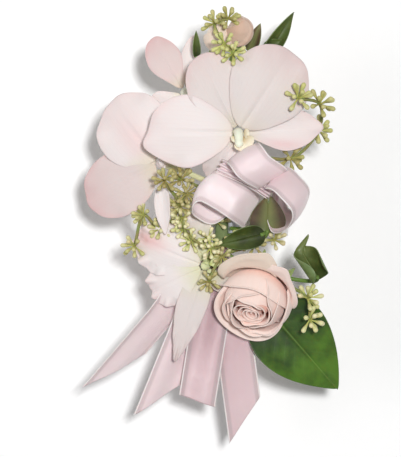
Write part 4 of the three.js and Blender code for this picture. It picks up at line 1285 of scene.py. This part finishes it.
def tail(name, end, arch, roll, cut, order, deep_and_shade):
    """A tail: gathered at the tie, it opens to its full width, rolls about its length as it goes out, and
    ends in a slanting cut. A shallow wave across it runs down its length, and painted shade deepens its
    pink near the tie and pales towards the cut."""
    wave_depth = 0.5
    along, across = sheet_grid(rows=110, columns=40)
    start = tie_at + [0, 0, order * tail_spacing]
    end = np.array(end, float)
    knee = (start + end) / 2
    knee[2] = arch
    fine = bezier([start, knee, end], np.linspace(0, 1, 400))
    length = np.linalg.norm(np.diff(fine, axis=0), axis=1).sum()
    reach = along * (1 + cut * across / (2 * length))
    share = np.clip(reach, 0, 1)
    middle = bezier([start, knee, end], share)
    heading = unit(between(knee - start, end - knee, share[..., None]))
    level = unit(np.stack([-heading[..., 1], heading[..., 0], np.zeros(share.shape)], -1))
    up = np.cross(heading, level)
    turn = np.radians(roll) * smooth(share, 0.1, 0.6)
    half = between(gather_width, ribbon_width, smooth(share, 0, 0.4)) / 2
    side = half * across
    points = (
        middle
        + ((reach - share) * length)[..., None] * heading
        + (side * np.cos(turn))[..., None] * level
        + (side * np.sin(turn))[..., None] * up
    )
    wave = wave_depth * np.sin(3.6 * across + 1.7 * order + 1.5 * along) * smooth(along, 0.15, 0.5)
    points = points + normals_of(points) * wave[..., None]
    lying = gathered(points, half, across)
    # Painted shade: deepest near the tie, where the tail lies under the blooms, and paler towards the cut.
    shade = np.clip(deep_and_shade * between(1.2, 0.7, smooth(along, 0.3, 0.95)), 0, 1)
    ribbon(name, lying, across, length, shade)


def bow_knot():
    """The knot: a barrel of pleated ribbon, drawn in at its middle, on a leg of taped wire."""
    pleat_count, pleat_depth = 9, 0.05
    share = np.linspace(-1, 1, 33)
    angle = np.linspace(0, 2 * np.pi, 73)
    profile = knot_radius * (1 - 0.25 * share**2) * (1 - 0.16 * np.exp(-((share / 0.22) ** 2)))
    pleated = 1 - pleat_depth + pleat_depth * np.cos(pleat_count * angle + 1.2 * share[:, None])
    closed = np.zeros(len(angle))
    radius = np.vstack([closed, profile[:, None] * pleated, closed])
    height = knot_length / 2 * np.concatenate([[-1], share, [1]])[:, None]
    points = np.stack(np.broadcast_arrays(radius * np.cos(angle), radius * np.sin(angle), height), -1)
    along = np.linspace(0, 0.5, len(points))[:, None]
    barrel = patch(points + bow_at + spray_origin, along, np.linspace(-0.5, 0.5, len(angle))[None])
    leg = stem_route(bow_at - [0, 0, knot_length / 2 - 0.5], np.array([0, 0, -1.0]), 4)
    wire = tube(leg, knot_wire_radius, sides=10)
    piece("bow_knot_wrap", [barrel], satin_ribbon, replaces=["bow_knot"])
    piece("bow_wire", [moved(wire, at=spray_origin)], tape_finish())


def bow_crossing():
    """The ribbon that crosses the bow between its loops: drawn tight into pleats, in an arch from one side of
    the knot to the other."""
    along, across = sheet_grid(rows=60, columns=40)
    ends = np.array([[-1.0, 20.5, 22.0], [9.0, 15.5, 28.0], [19.5, 8.5, 22.0]])
    middle = bezier(ends, along)
    half = between(2.0, 3.2, smooth(along, 0.7, 0))
    level = unit(np.array([0.5, 0.85, 0.1]))
    points = middle + (half * across)[..., None] * level
    folded = gathered(points, half, across)
    # Painted shade: a slightly deeper pink on the crossing.
    ribbon("bow_crossing", folded, across, walked(points), deep_and_shade=0.15)


def bow():
    """The bow's knot, the ribbon across it, its three loops and its four tails."""
    bow_knot()
    bow_crossing()
    # Painted shade: the centre and right loops and the tails are given a deeper pink where they lie in shade,
    # the tails most.
    bow_loop(
        "bow_loop_centre", turn=122, lift=12, roll=2, length=17, height=15, full=0.3,
        start=np.array([1.3, 1.2, 11.5]), top_width=15, sway=4.5, deep_and_shade=0.2, arch=1.2,
    )
    bow_loop(
        "bow_loop_right", turn=-36, lift=2, roll=-38, length=18, height=19, full=0.3,
        start=np.array([1.3, 1.2, 11.0]), top_width=15, sway=-4.9, deep_and_shade=0.4, arch=1.2,
    )
    bow_loop(
        "bow_loop_left", turn=149, lift=6, roll=8, length=25, height=10.5, full=0.4,
        start=np.array([-7.0, -12.4, 4.5]), top_width=16, dive=8, late=0.8, arch=2.4, under=6.0,
    )
    tail("ribbon_tail_far_left", end=[-46, -67, -6], arch=2, roll=-44, cut=-27, order=0, deep_and_shade=0.2)
    tail("ribbon_tail_left", end=[-27, -79, -6], arch=3, roll=-24, cut=-20, order=1, deep_and_shade=0.4)
    tail("ribbon_tail_right", end=[10, -88, -8], arch=3, roll=6, cut=-20, order=2, deep_and_shade=0.85)
    tail("ribbon_tail_middle", end=[-10.5, -79.5, -3], arch=4, roll=0, cut=3, order=3, deep_and_shade=1.0)


# Stage, light and camera

photo_width, photo_height = 401, 457
origin_pixel = (222, 215)
pixel_size = 0.42  # millimetres at the height of the blooms
bloom_height = 40.0
camera_distance = 950.0
floor_reach = 3000.0
ambient_light = 0.22


def stage():
    """A pale floor under the band."""
    along, across = sheet_grid(rows=1, columns=1)
    level = np.full(along.shape, floor_height)
    points = np.stack([(2 * along - 1) * floor_reach, across * floor_reach, level], -1)
    mesh = bpy.data.meshes.new("floor")
    mesh.from_pydata(points.reshape(-1, 3) * millimetre, [], [(0, 2, 3, 1)])
    mesh.materials.append(floor_finish())
    floor = bpy.data.objects.new("floor", mesh)
    bpy.context.scene.collection.objects.link(floor)


def lamp(name, turn, lift, distance, size, power):
    """A square soft lamp that faces the blooms from a compass angle and a lift."""
    data = bpy.data.lights.new(name, "AREA")
    data.size = size * millimetre
    data.energy = power
    made = bpy.data.objects.new(name, data)
    aim = direction(turn, lift)
    made.location = (aim * distance + [0, 0, bloom_height]) * millimetre
    made.rotation_euler = (np.pi / 2 - np.radians(lift), 0, np.radians(turn) + np.pi / 2)
    bpy.context.scene.collection.objects.link(made)


def light():
    """A key and a fill lamp, and a world that lights softly but is white to the camera, gloss and glass."""
    lamp("key", turn=42, lift=82, distance=1300, size=130, power=12.9)
    lamp("fill", turn=178, lift=38, distance=1500, size=900, power=4.8)
    world = bpy.data.worlds.new("studio")
    world.use_nodes = True
    tree = world.node_tree
    soft = tree.nodes["Background"]
    soft.inputs["Color"].default_value = (1, 1, 1, 1)
    soft.inputs["Strength"].default_value = ambient_light
    seen = tree.nodes.new("ShaderNodeBackground")
    seen.inputs["Color"].default_value = (1, 1, 1, 1)
    seen.inputs["Strength"].default_value = 1.0
    path = tree.nodes.new("ShaderNodeLightPath")
    shown = path.outputs["Is Camera Ray"]
    for ray in ("Is Glossy Ray", "Is Transmission Ray"):
        either = tree.nodes.new("ShaderNodeMath")
        either.operation = "MAXIMUM"
        tree.links.new(shown, either.inputs[0])
        tree.links.new(path.outputs[ray], either.inputs[1])
        shown = either.outputs[0]
    choose = tree.nodes.new("ShaderNodeMixShader")
    tree.links.new(shown, choose.inputs[0])
    tree.links.new(soft.outputs[0], choose.inputs[1])
    tree.links.new(seen.outputs[0], choose.inputs[2])
    tree.links.new(choose.outputs[0], tree.nodes["World Output"].inputs["Surface"])
    bpy.context.scene.world = world


def camera():
    """A camera straight above the corsage, that frames it as the photograph does."""
    data = bpy.data.cameras.new("camera")
    data.sensor_fit = "VERTICAL"
    data.lens = data.sensor_height * camera_distance / (photo_height * pixel_size)
    made = bpy.data.objects.new("camera", data)
    centre_x = (photo_width / 2 - origin_pixel[0]) * pixel_size
    centre_y = (origin_pixel[1] - photo_height / 2) * pixel_size
    made.location = np.array([centre_x, centre_y, bloom_height + camera_distance]) * millimetre
    bpy.context.scene.collection.objects.link(made)
    bpy.context.scene.camera = made


camera()
stage()
light()
bpy.context.scene.view_settings.view_transform = "Standard"

band()
clip()
taped_stem()
orchids()
rose()
bud("left_bud", at=[-2.0, 69, 6], lean=50, towards=82, joins=46, pink=0.1, skin=rose_guard, full=1.3)
bud("right_bud", at=[6.2, 73, 8], lean=38, towards=72, joins=48, pink=0.9, skin=tan_bud, full=1.2)
leaves()
sprigs()
bow()
